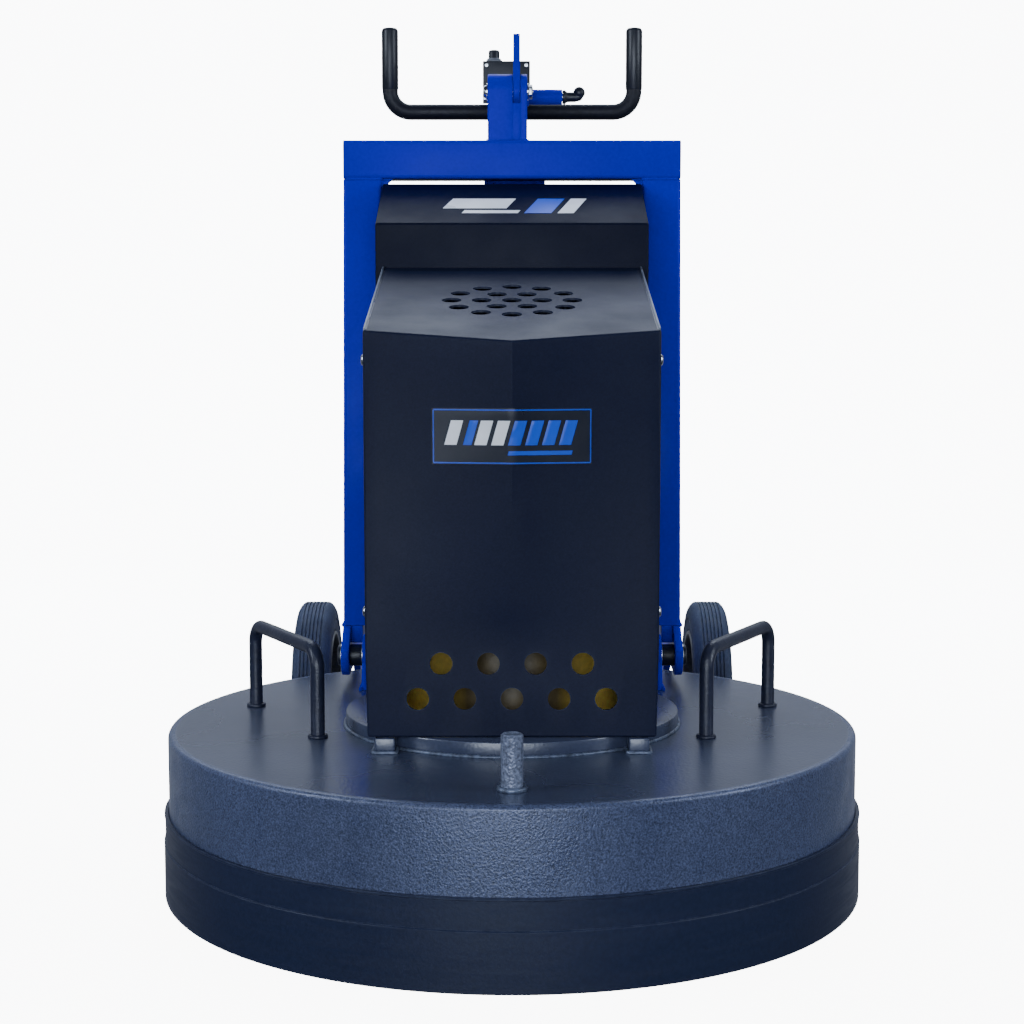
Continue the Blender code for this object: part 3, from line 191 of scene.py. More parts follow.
def turned(outline, axis="Z", centre=(0, 0, 0), steps=96, closed=False):
    """Spins an outline of (radius, place along the axis) into a round piece."""
    solid = bmesh.new()
    spots = {"X": lambda r, h: (h, 0, r), "Y": lambda r, h: (r, h, 0), "Z": lambda r, h: (r, 0, h)}[axis]
    points = [solid.verts.new(spots(r, h)) for r, h in outline]
    pairs = list(zip(points, points[1:])) + ([(points[-1], points[0])] if closed else [])
    edges = [solid.edges.new(pair) for pair in pairs]
    bmesh.ops.spin(solid, geom=points + edges, cent=(0, 0, 0), axis=ALONG[axis], dvec=(0, 0, 0), angle=tau,
                   steps=steps, use_merge=True)
    bmesh.ops.remove_doubles(solid, verts=solid.verts, dist=0.00001)
    bmesh.ops.recalc_face_normals(solid, faces=solid.faces)
    bmesh.ops.translate(solid, vec=Vector(centre), verts=solid.verts)
    return solid


def plate(outline, start, end, along="Z"):
    """A flat outline drawn across an axis and pulled along it from start to end."""
    solid = bmesh.new()
    spots = {"X": lambda a, b: (start, a, b), "Y": lambda a, b: (a, start, b), "Z": lambda a,
             b: (a, b, start)}[along]
    face = solid.faces.new([solid.verts.new(spots(a, b)) for a, b in outline])
    pulled = bmesh.ops.extrude_face_region(solid, geom=[face])["geom"]
    bmesh.ops.translate(solid, vec=ALONG[along] * (end - start),
                        verts=[g for g in pulled if isinstance(g, bmesh.types.BMVert)])
    bmesh.ops.recalc_face_normals(solid, faces=solid.faces)
    return solid


def block(first, last):
    """A block between two opposite corners."""
    solid = bmesh.new()
    first, last = Vector(first), Vector(last)
    bmesh.ops.create_cube(solid, size=1)
    bmesh.ops.scale(solid, vec=last - first, verts=solid.verts)
    bmesh.ops.translate(solid, vec=(first + last) / 2, verts=solid.verts)
    return solid


def rod(radius, start, end, axis="Z", centre=(0, 0, 0), steps=32):
    """A round bar along an axis; centre gives the other two places."""
    return turned([(0, start), (radius, start), (radius, end), (0, end)], axis, centre, steps)


def swung(solid, turn, axis, centre):
    """The solid turned about an axis through the middle of the frame, then moved to a centre."""
    bmesh.ops.rotate(solid, matrix=Matrix.Rotation(turn, 3, axis), cent=(0, 0, 0), verts=solid.verts)
    bmesh.ops.translate(solid, vec=centre, verts=solid.verts)
    return solid


def rounded(centre, radius, first, last, steps):
    """Points of an arc, angles in degrees."""
    return [(centre[0] + radius * cos(radians(first + (last - first) * i / steps)),
             centre[1] + radius * sin(radians(first + (last - first) * i / steps))) for i in range(steps + 1)]


def joined(*solids):
    """Several separate shells kept together as one mesh."""
    whole = bmesh.new()
    for solid in solids:
        mesh = bpy.data.meshes.new("part")
        solid.to_mesh(mesh)
        solid.free()
        whole.from_mesh(mesh)
        bpy.data.meshes.remove(mesh)
    return whole


def punched(solid, *cutters):
    """The solid with every cutter taken out of it."""
    things = []
    for shape in (solid, joined(*cutters)):
        mesh = bpy.data.meshes.new("cut")
        shape.to_mesh(mesh)
        shape.free()
        things.append(bpy.data.objects.new("cut", mesh))
        bpy.context.scene.collection.objects.link(things[-1])
    cutting = things[0].modifiers.new("cut", "BOOLEAN")
    cutting.operation = "DIFFERENCE"
    cutting.solver = "EXACT"
    cutting.use_self = True
    cutting.object = things[1]
    result = bpy.data.meshes.new_from_object(things[0].evaluated_get(bpy.context.evaluated_depsgraph_get()))
    for thing in things:
        bpy.data.objects.remove(thing)
    whole = bmesh.new()
    whole.from_mesh(result)
    bpy.data.meshes.remove(result)
    bmesh.ops.remove_doubles(whole, verts=whole.verts, dist=0.00001)
    return whole


def bent(corners, radius, steps=8):
    """A path through its corners with a round bend at each inner one."""
    path = [Vector(corners[0])]
    for before, corner, after in zip(corners, corners[1:], corners[2:]):
        corner = Vector(corner)
        back, ahead = (Vector(before) - corner).normalized(), (Vector(after) - corner).normalized()
        half = back.angle(ahead) / 2
        heart = corner + (back + ahead).normalized() * radius / sin(half)
        start = corner + back * radius / tan(half)
        turn = (pi - 2 * half)
        axle = back.cross(ahead).normalized()
        path += [heart + Matrix.Rotation(-turn * i / steps, 3, axle) @ (start - heart)
                 for i in range(steps + 1)]
    return path + [Vector(corners[-1])]


def swept(path, radius, widths=None, ring=6, loop=False):
    """A round bar along a path; widths makes it thicker or thinner at each point."""
    curve = bpy.data.curves.new("path", "CURVE")
    curve.dimensions = "3D"
    curve.bevel_depth = radius
    curve.bevel_resolution = ring
    curve.use_fill_caps = not loop
    line = curve.splines.new("POLY")
    line.points.add(len(path) - 1)
    line.use_cyclic_u = loop
    for i, (point, place) in enumerate(zip(line.points, path)):
        point.co = (*place, 1)
        point.radius = widths[i] if widths else 1
    thing = bpy.data.objects.new("path", curve)
    bpy.context.scene.collection.objects.link(thing)
    mesh = bpy.data.meshes.new_from_object(thing.evaluated_get(bpy.context.evaluated_depsgraph_get()))
    bpy.data.objects.remove(thing)
    solid = bmesh.new()
    solid.from_mesh(mesh)
    bpy.data.meshes.remove(mesh)
    bmesh.ops.remove_doubles(solid, verts=solid.verts, dist=0.00001)
    bmesh.ops.recalc_face_normals(solid, faces=solid.faces)
    return solid


def weld(corners, radius, loop=False):
    """A rippled weld bead along a path of straight runs."""
    spots = [Vector(c) for c in corners]
    if loop:
        spots.append(spots[0])
    path = []
    for start, end in zip(spots, spots[1:]):
        count = max(2, round((end - start).length / (radius * 0.8)))
        path += [start.lerp(end, i / count) for i in range(count)]
    if not loop:
        path.append(spots[-1])
    widths = [1.0 + 0.13 * sin(i * 2.4) + 0.05 * sin(i * 0.7) for i in range(len(path))]
    return swept(path, radius, widths, 2, loop)


def ring_path(radius, centre, count=24):
    """Points round a level circle."""
    return [Vector(centre) + Vector((radius * cos(tau * i / count), radius * sin(tau * i / count), 0))
            for i in range(count)]


def piece(name, solid, body, finish, nodes=(), sharp=32):
    """A finished mesh as an object that rides on a body and stands for the frame's nodes."""
    mesh = bpy.data.meshes.new(name)
    solid.to_mesh(mesh)
    solid.free()
    material, slot = FINISHES[finish]
    mesh.materials.append(material)
    for face in mesh.polygons:
        face.use_smooth = True
    mesh.set_sharp_from_angle(angle=radians(sharp))
    thing = bpy.data.objects.new(name, mesh)
    bpy.context.scene.collection.objects.link(thing)
    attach(thing, body)
    if nodes:
        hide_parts(*nodes)
    return thing


def repaint(finish, *nodes):
    """Gives nodes of the frame that stay in view a finished material."""
    for node in nodes:
        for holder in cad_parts[node].material_slots:
            holder.material = FINISHES[finish][0]


def bolt_heads(radius, count, size, start, end, axis, centre, turn=0.0):
    """Hexagon heads evenly round a circle across an axis."""
    heads = []
    for i in range(count):
        a, b = radius * cos(turn + tau * i / count), radius * sin(turn + tau * i / count)
        at = {"X": (0, a, b), "Y": (a, 0, b), "Z": (a, b, 0)}[axis]
        heads.append(soften(rod(size, start, end, axis, Vector(centre) + Vector(at), 6), size * 0.12, 2))
    return joined(*heads)


# ---------------------------------------------------------------- finishes

FINISHES = {}


class Finish:
    """One node material on Object coordinates, built up from spots of colour, grain and wear."""

    def __init__(self, name, slot, colour, roughness, metallic=0.0, specular=0.5):
        self.material = bpy.data.materials.new(name)
        self.material.use_nodes = True
        self.tree = self.material.node_tree
        self.shader = self.tree.nodes["Principled BSDF"]
        self.place = self.tree.nodes.new("ShaderNodeTexCoord").outputs["Object"]
        self.shader.inputs["Metallic"].default_value = metallic
        self.shader.inputs["Specular IOR Level"].default_value = specular
        self.colour = self.add("ShaderNodeRGB").outputs[0]
        self.colour.default_value = (*colour, 1)
        self.roughness = roughness
        self.normal = None
        FINISHES[name] = (self.material, slot)

    def add(self, kind, **settings):
        node = self.tree.nodes.new(kind)
        for key, value in settings.items():
            setattr(node, key, value)
        return node

    def link(self, start, end):
        self.tree.links.new(start, end)

    def noise(self, scale, detail=4.0, stretch=None, distortion=0.0):
        """Noise from 0 to 1; stretch squeezes the pattern along each axis."""
        node = self.add("ShaderNodeTexNoise")
        node.inputs["Scale"].default_value = scale
        node.inputs["Detail"].default_value = detail
        node.inputs["Distortion"].default_value = distortion
        if stretch:
            mapping = self.add("ShaderNodeMapping")
            mapping.inputs["Scale"].default_value = stretch
            self.link(self.place, mapping.inputs["Vector"])
            self.link(mapping.outputs["Vector"], node.inputs["Vector"])
        else:
            self.link(self.place, node.inputs["Vector"])
        return node.outputs["Fac"]

    def cells(self, scale, feature="SMOOTH_F1", output="Distance"):
        node = self.add("ShaderNodeTexVoronoi", feature=feature)
        node.inputs["Scale"].default_value = scale
        self.link(self.place, node.inputs["Vector"])
        return node.outputs[output]

    def ranged(self, value, first, last, start, end):
        node = self.add("ShaderNodeMapRange")
        for name, number in (("From Min", first), ("From Max", last), ("To Min", start), ("To Max", end)):
            node.inputs[name].default_value = number
        self.link(value, node.inputs["Value"])
        return node.outputs["Result"]

    def shade(self, value, amount):
        """Makes the colour darker and lighter by a share, following a value from 0 to 1."""
        node = self.add("ShaderNodeVectorMath", operation="SCALE")
        self.link(self.colour, node.inputs[0])
        self.link(self.ranged(value, 0.3, 0.7, 1 - amount, 1 + amount), node.inputs["Scale"])
        self.colour = node.outputs["Vector"]
        return self

    def cover(self, value, colour):
        """Lays another colour on where a value is near 1."""
        node = self.add("ShaderNodeMix", data_type="RGBA")
        self.link(value, node.inputs["Factor"])
        self.link(self.colour, node.inputs[6])
        node.inputs[7].default_value = (*colour, 1)
        self.colour = node.outputs[2]
        return self

    def bump(self, value, depth, strength=1.0):
        node = self.add("ShaderNodeBump")
        node.inputs["Strength"].default_value = strength
        node.inputs["Distance"].default_value = depth
        self.link(value, node.inputs["Height"])
        if self.normal:
            self.link(self.normal, node.inputs["Normal"])
        self.normal = node.outputs["Normal"]
        return self

    def worn(self, colour, reach=0.0016):
        """A lighter tone along edges, where the paint gets rubbed."""
        edge = self.add("ShaderNodeBevel", samples=4)
        edge.inputs["Radius"].default_value = reach
        flat = self.add("ShaderNodeNewGeometry").outputs["Normal"]
        turn = self.add("ShaderNodeVectorMath", operation="DOT_PRODUCT")
        self.link(edge.outputs["Normal"], turn.inputs[0])
        self.link(flat, turn.inputs[1])
        broken = self.add("ShaderNodeMath", operation="MULTIPLY")
        self.link(self.ranged(turn.outputs["Value"], 0.985, 0.90, 0, 1), broken.inputs[0])
        self.link(self.ranged(self.noise(60, 5), 0.42, 0.6, 0.10, 0.8), broken.inputs[1])
        return self.cover(broken.outputs[0], colour)

    def done(self, roughness_value=None, spread=0.08):
        """Joins colour, roughness and grain to the shader."""
        value = roughness_value or self.noise(18, 4)
        self.link(self.ranged(value, 0.3, 0.7, max(0.02, self.roughness - spread),
                              min(1, self.roughness + spread)),
                  self.shader.inputs["Roughness"])
        self.link(self.colour, self.shader.inputs["Base Color"])
        if self.normal:
            self.link(self.normal, self.shader.inputs["Normal"])
        return self.material


def make_finishes(colours):
    """Every finish of the grinder, by name."""
    powder = Finish("powder_coat", "powder_black", colours.cover, 0.44, 0.0, 0.15)
    powder.shade(powder.noise(5, 5), 0.10).shade(powder.noise(420, 2), 0.10)
    powder.bump(powder.noise(700, 3), 0.00022, 0.5)
    powder.worn((0.050, 0.060, 0.095))
    powder.done(powder.noise(14, 5), 0.06)

    # A darker copy of the cover's powder coat for the rear enclosure: its darker colour and edge tone are painted
    # shade, where the cover shadows the enclosure.
    shaded_coat = Finish("enclosure_shaded_coat", "powder_black", (0.0030, 0.0045, 0.0160), 0.50, 0.0, 0.10)
    shaded_coat.shade(shaded_coat.noise(5, 5), 0.12).shade(shaded_coat.noise(420, 2), 0.10)
    shaded_coat.bump(shaded_coat.noise(700, 3), 0.00022, 0.5)
    shaded_coat.worn((0.035, 0.042, 0.070))
    shaded_coat.done(shaded_coat.noise(14, 5), 0.06)

    hammer = Finish("hammered_paint", "hammer_grey", colours.deck, 0.34, 0.2, 0.5)
    dents = hammer.cells(430)
    hammer.shade(hammer.noise(4, 5), 0.10).shade(hammer.noise(620, 2), 0.50).shade(hammer.ranged(dents, 0.1,
            0.6, 0.2, 0.8), 0.22)
    hammer.bump(dents, 0.0006, 0.55).bump(hammer.noise(760, 2), 0.0004, 0.6)
    hammer.worn((0.10, 0.12, 0.18))
    hammer.done(hammer.noise(30, 4), 0.08)

    satin = Finish("satin_deck", "hammer_grey", [0.62 * c for c in colours.deck], 0.27, 0.0, 0.75)
    satin.shade(satin.noise(2.4, 3), 0.08).shade(satin.noise(260, 3), 0.10)
    satin.bump(satin.cells(330), 0.00042, 0.35).bump(satin.noise(22, 3), 0.0007, 0.3)
    satin.worn((0.10, 0.12, 0.18))
    satin.done(satin.noise(4, 3), 0.05)

    speckled = Finish("speckled_cast", "hammer_grey", (0.140, 0.160, 0.230), 0.40, 0.3)
    speckled.shade(speckled.noise(300, 2), 0.5)
    speckled.cover(speckled.ranged(speckled.cells(420, "F1"), 0.16, 0.05, 0, 0.9), (0.46, 0.50, 0.60))
    speckled.bump(speckled.cells(420), 0.0009, 0.8).done()

    bead = Finish("weld_bead", "hammer_grey", (0.090, 0.110, 0.165), 0.32, 0.3)
    bead.shade(bead.noise(160, 3), 0.5).bump(bead.noise(500, 3), 0.0004, 0.7).done()

    rubber = Finish("skirt_rubber", "shroud_rubber", colours.rubber, 0.44, 0.0, 0.38)
    rubber.shade(rubber.noise(2.6, 3, (1, 1, 3)), 0.10)
    rubber.shade(rubber.noise(240, 2), 0.12)
    scuffs = rubber.noise(9, 6, (1.2, 1.2, 14), 1.2)
    rubber.cover(rubber.ranged(scuffs, 0.64, 0.82, 0, 0.14), (0.035, 0.043, 0.070))
    rubber.bump(rubber.noise(360, 3), 0.0003, 0.4).bump(rubber.noise(5, 3), 0.0012, 0.3)
    rubber.worn((0.045, 0.055, 0.090))
    rubber.done(scuffs, 0.05)

    tyre = Finish("tyre_tread", "tyre_rubber", colours.tyre, 0.72, 0.0, 0.3)
    tyre.shade(tyre.noise(14, 5), 0.22).shade(tyre.noise(320, 2), 0.18)
    tyre.bump(tyre.noise(420, 3), 0.0004, 0.6)
    tyre.worn((0.09, 0.10, 0.13))
    tyre.done(None, 0.07)

    blue = Finish("frame_paint", "blue_paint", colours.blue, 0.36, 0.0, 0.07)
    blue.shade(blue.noise(3, 5), 0.14).shade(blue.noise(260, 2), 0.06)
    blue.bump(blue.noise(240, 2), 0.00022, 0.35).bump(blue.noise(24, 3), 0.0005, 0.18)
    blue.worn((0.004, 0.050, 0.52))
    blue.done(blue.noise(11, 5), 0.07)

    cast = Finish("cast_paint", "gear_case", colours.cast, 0.46, 0.0, 0.4)
    # The case goes dark towards its middle across X: painted shade, as the middle vents get less light than the
    # outer ones.
    painted_shade_xyz = cast.add("ShaderNodeSeparateXYZ")
    cast.link(cast.place, painted_shade_xyz.inputs["Vector"])
    wide = cast.add("ShaderNodeMath", operation="ABSOLUTE")
    cast.link(painted_shade_xyz.outputs["X"], wide.inputs[0])
    cast.cover(cast.ranged(wide.outputs[0], 0.10, 0.05, 0, 0.94), (0.022, 0.015, 0.010))
    cast.shade(cast.noise(11, 5), 0.16).shade(cast.noise(200, 2), 0.10)
    cast.cover(cast.ranged(cast.noise(26, 6), 0.64, 0.76, 0, 0.5), (0.20, 0.14, 0.05))
    cast.bump(cast.noise(170, 4), 0.0006, 0.5).done()

    steel = Finish("bright_steel", "bright_steel", (0.56, 0.58, 0.62), 0.26, 1.0)
    steel.shade(steel.noise(40, 5), 0.10).shade(steel.noise(700, 2, (1, 1, 0.06)), 0.10)
    steel.bump(steel.noise(900, 2, (1, 1, 0.08)), 0.00012, 0.35).done(steel.noise(60, 4), 0.09)

    gearing = Finish("oiled_steel", "bright_steel", (0.36, 0.37, 0.39), 0.22, 1.0)
    gearing.shade(gearing.noise(18, 4), 0.18)
    gearing.cover(gearing.ranged(gearing.noise(7, 4), 0.56, 0.72, 0, 0.6), (0.16, 0.12, 0.07))
    gearing.bump(gearing.noise(380, 3), 0.0002, 0.3).done(gearing.noise(12, 4), 0.10)

    iron = Finish("grey_iron", "grey_iron", (0.115, 0.120, 0.130), 0.48, 0.7)
    iron.shade(iron.noise(9, 6), 0.25).shade(iron.noise(330, 2), 0.2)
    iron.cover(iron.ranged(iron.noise(17, 6), 0.62, 0.74, 0, 0.5), (0.11, 0.055, 0.025))
    iron.bump(iron.noise(260, 4), 0.0005, 0.6).done()

    winding = Finish("copper_winding", "winding", (0.50, 0.20, 0.075), 0.34, 1.0)
    coils = winding.add("ShaderNodeTexWave", bands_direction="Z")
    coils.inputs["Scale"].default_value = 180
    coils.inputs["Distortion"].default_value = 0.6
    winding.link(winding.place, coils.inputs["Vector"])
    winding.shade(coils.outputs["Fac"], 0.35).bump(coils.outputs["Fac"], 0.0005, 0.8).done()

    plastic = Finish("black_plastic", "black_plastic", (0.0085, 0.0105, 0.0180), 0.40, 0.0, 0.45)
    plastic.shade(plastic.noise(12, 4), 0.15).bump(plastic.noise(620, 2), 0.0003, 0.45)
    plastic.worn((0.045, 0.050, 0.065))
    plastic.done(None, 0.07)

    grip = Finish("handle_coat", "powder_black", (0.0060, 0.0068, 0.0130), 0.50, 0.0, 0.28)
    grip.shade(grip.noise(160, 3), 0.22).bump(grip.cells(520), 0.0006, 0.6).bump(grip.noise(30, 3), 0.0004, 0.3)
    grip.worn((0.045, 0.050, 0.068))
    grip.done(None, 0.09)

    lift = Finish("lift_coat", "powder_black", (0.0130, 0.0160, 0.0340), 0.38, 0.0, 0.45)
    lift.shade(lift.noise(160, 3), 0.20).bump(lift.cells(480), 0.0005, 0.6)
    lift.worn((0.060, 0.070, 0.100))
    lift.done(None, 0.09)

    pale = Finish("grey_plastic", "grey_plastic", (0.115, 0.125, 0.150), 0.42, 0.0)
    pale.shade(pale.noise(20, 4), 0.12).bump(pale.noise(500, 2), 0.0002, 0.4).done()

    red = Finish("red_plastic", "red_plastic", (0.50, 0.012, 0.010), 0.30, 0.0)
    red.shade(red.noise(30, 4), 0.12).bump(red.noise(420, 2), 0.00015, 0.3).done()

    abrasive = Finish("abrasive_segment", "abrasive", (0.150, 0.130, 0.105), 0.62, 0.5)
    abrasive.shade(abrasive.noise(120, 5), 0.3)
    abrasive.cover(abrasive.ranged(abrasive.cells(640, "F1"), 0.22, 0.08, 0, 1), (0.62, 0.60, 0.50))
    abrasive.bump(abrasive.cells(640), 0.0009, 0.9).done()

    for name, colour in (("label_face", (0.006, 0.008, 0.018)), ("label_blue", tuple(colours.label)),
                         ("label_white", (0.78, 0.80, 0.84))):
        film = Finish(name, "black_plastic", colour, 0.30, 0.0)
        film.shade(film.noise(34, 4), 0.07).bump(film.noise(90, 3), 0.00012, 0.3).done(None, 0.05)

    # A lighter tone for the cover's top side edges: a painted highlight along those edges.
    edge = Finish("painted_highlight_edge", "powder_black", (0.105, 0.125, 0.175), 0.38, 0.2)
    edge.shade(edge.noise(90, 4), 0.2).bump(edge.noise(500, 2), 0.0002, 0.4).done()

    paper = Finish("studio_paper", "white", (0.93, 0.94, 0.95), 0.75)
    paper.shader.inputs["Emission Color"].default_value = (1, 1, 1, 1)
    paper.shader.inputs["Emission Strength"].default_value = 9.0
    paper.shade(paper.noise(2, 3), 0.006).done(None, 0.03)


class GRINDER_OT_finishes(bpy.types.Operator):
    """Make every paint, rubber, metal and plastic that the pieces use"""
    bl_idname = "grinder.finishes"
    bl_label = "Finishes"

    def execute(self, context):
        make_finishes(context.scene.grinder_colours)
        return {"FINISHED"}


# ---------------------------------------------------------------- deck

def rim_weld(path, body, name, finish="weld_bead", radius=0.0028, loop=False):
    piece(name, weld(path, radius, loop), body, finish, sharp=60)


class GRINDER_OT_deck(bpy.types.Operator):
    """Build the round deck, its floating skirt, flange, post and lift handles"""
    bl_idname = "grinder.deck"
    bl_label = "Deck"

    def execute(self, context):
        size = context.scene.grinder_deck
        top, rim = high("deck_shell").z, high("deck_shell").x
        bottom = low("deck_shell").z
        wall, deep = 0.005, 0.008
        bore = high("carrier_bearing").x + 0.0003
        hub = (0, DECK_Y, 0)
        edge = rounded((rim - size.edge, top - size.edge), size.edge, 0, 90, 6)
        self.drum(size, rim, top, bottom, wall, deep, bore, hub, edge)
        self.skirt(size, hub)
        self.flange(hub, bore)
        self.post()
        for side, name in SIDES:
            self.lift_handle(size, side, name)
        return {"FINISHED"}

    def drum(self, size, rim, top, bottom, wall, deep, bore, hub, edge):
        """The rim with its rounded edge, and the smoother top plate inside it."""
        lap, under = rim - size.edge - 0.003, rim - wall - 0.010
        shell = turned([(under, top - deep), (rim - wall, top - deep), (rim - wall, bottom), (rim - 0.0008,
                bottom),
                        (rim, bottom + 0.0008), *edge, (lap, top)], "Z", hub, size.steps, closed=True)
        piece("deck_rim", shell, "head", "hammered_paint", ["deck_shell"])
        disc = turned([(bore, top), (lap, top), (under, top - deep), (bore, top - deep)], "Z", hub, size.steps,
                      closed=True)
        piece("deck_top", disc, "head", "satin_deck")
        ribs = []
        for i in range(3):
            a = pi / 2 + tau * (i + 0.5) / 3
            rib = block((0.145, -0.004, top - deep - 0.020), (rim - wall, 0.004, top - deep))
            ribs.append(soften(swung(rib, a, "Z", hub), 0.0012))
        piece("deck_ribs", joined(*ribs), "head", "hammered_paint")
        seam = ring_path(rim - wall - 0.0016, (0, DECK_Y, top - deep - 0.0016), 120)
        piece("deck_inner_weld", swept(seam, 0.0026, None, 2, True), "head", "hammered_paint", sharp=60)

    def skirt(self, size, hub):
        """A rubber ring in two bands, with a raised lip round its top."""
        inside, outside = high("deck_shell").x + 0.0006, high("skirt").x
        upper = outside - size.skirt_step
        top, bottom, seam = high("skirt").z, low("skirt").z, size.skirt_seam
        outline = [(inside, bottom + 0.001), (inside + 0.001, bottom), (outside - 0.0012, bottom),
                   (outside, bottom + 0.0012),
                   (outside, seam - 0.0008), (outside - 0.0006, seam), (upper, seam + 0.0004),
                   (upper, top - 0.0030),
                   (upper + 0.0009, top - 0.0022), (upper + 0.0009, top - 0.0006), (upper + 0.0003, top),
                   (inside + 0.0005, top), (inside, top - 0.0005)]
        piece("skirt_ring", turned(outline, "Z", hub, size.steps, closed=True), "skirt", "skirt_rubber",
              ["skirt"])

    def flange(self, hub, bore):
        """A cast ring with square lugs at the front, welded round its foot."""
        box_low, box_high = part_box("base_flange")
        outer = box_high.x
        ring = soften(turned([(bore, box_high.z), (outer, box_high.z), (outer, box_low.z), (bore, box_low.z)],
                             "Z", hub, 128, closed=True), 0.0016)
        lugs = []
        for side, _ in SIDES:
            lug = block((side * 0.139 - 0.011, DECK_Y - 0.172, box_low.z), (side * 0.139 + 0.011,
                    DECK_Y - 0.100, box_high.z - 0.0004))
            lugs.append(soften(lug, 0.0018))
            x, front = side * 0.139, DECK_Y - 0.172
            rim_weld([(x - 0.0125, front + 0.030, box_low.z + 0.001), (x - 0.0125, front - 0.0015,
                    box_low.z + 0.001),
                      (x + 0.0125, front - 0.0015, box_low.z + 0.001), (x + 0.0125, front + 0.030,
                    box_low.z + 0.001)],
                     "head", f"lug_weld_{'left' if side < 0 else 'right'}", radius=0.0022)
        piece("flange_ring", joined(ring, *lugs), "head", "satin_deck", ["base_flange"])
        piece("flange_weld", weld(ring_path(outer + 0.001, (0, DECK_Y, box_low.z + 0.0008), 150), 0.0021, True),
              "head", "weld_bead", sharp=60)
        heads = bolt_heads(0.158, 12, 0.0075, box_high.z - 0.0001, box_high.z + 0.0052, "Z", hub, radians(15))
        piece("flange_bolts", heads, "head", "bright_steel")

    def post(self):
        """The stub post at the front of the deck, welded on."""
        box_low, box_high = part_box("front_post")
        mid = middle("front_post")
        radius = 0.0115
        tube = turned([(0, box_low.z), (radius, box_low.z), (radius, box_high.z - 0.0016), (radius - 0.0016,
                box_high.z),
                       (radius - 0.0032, box_high.z), (radius - 0.0042, box_high.z - 0.0009),
                       (0, box_high.z - 0.0009)],
                      "Z", (mid.x, mid.y, 0), 48)
        piece("post_stub", tube, "head", "speckled_cast", ["front_post"])
        piece("post_weld", weld(ring_path(radius + 0.0014, (mid.x, mid.y, box_low.z + 0.0016), 26), 0.0029,
                                True), "head", "weld_bead", sharp=60)

    def lift_handle(self, size, side, name):
        """A bent bar with both feet welded to the deck."""
        node = f"lift_handle_{name}"
        box_low, box_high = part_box(node)
        near = min(abs(box_low.x), abs(box_high.x)) + size.bar
        far = max(abs(box_low.x), abs(box_high.x)) - size.bar
        first, last = box_low.y + size.bar, box_high.y - size.bar
        top, floor = box_high.z - size.bar, box_low.z
        corners = [(side * near, first, floor), (side * near, first, top), (side * far, last, top),
                   (side * far, last, floor)]
        piece(f"lift_bar_{name}", swept(bent(corners, size.bend, 10), size.bar, None, 8), "head", "lift_coat",
              [node])
        for x, y, which in ((near, first, "front"), (far, last, "rear")):
            seam = weld(ring_path(size.bar + 0.0012, (side * x, y, floor + 0.0013), 22), 0.0023, True)
            piece(f"lift_weld_{which}_{name}", seam, "head", "lift_coat", sharp=60)


# ---------------------------------------------------------------- tools and drive under the deck

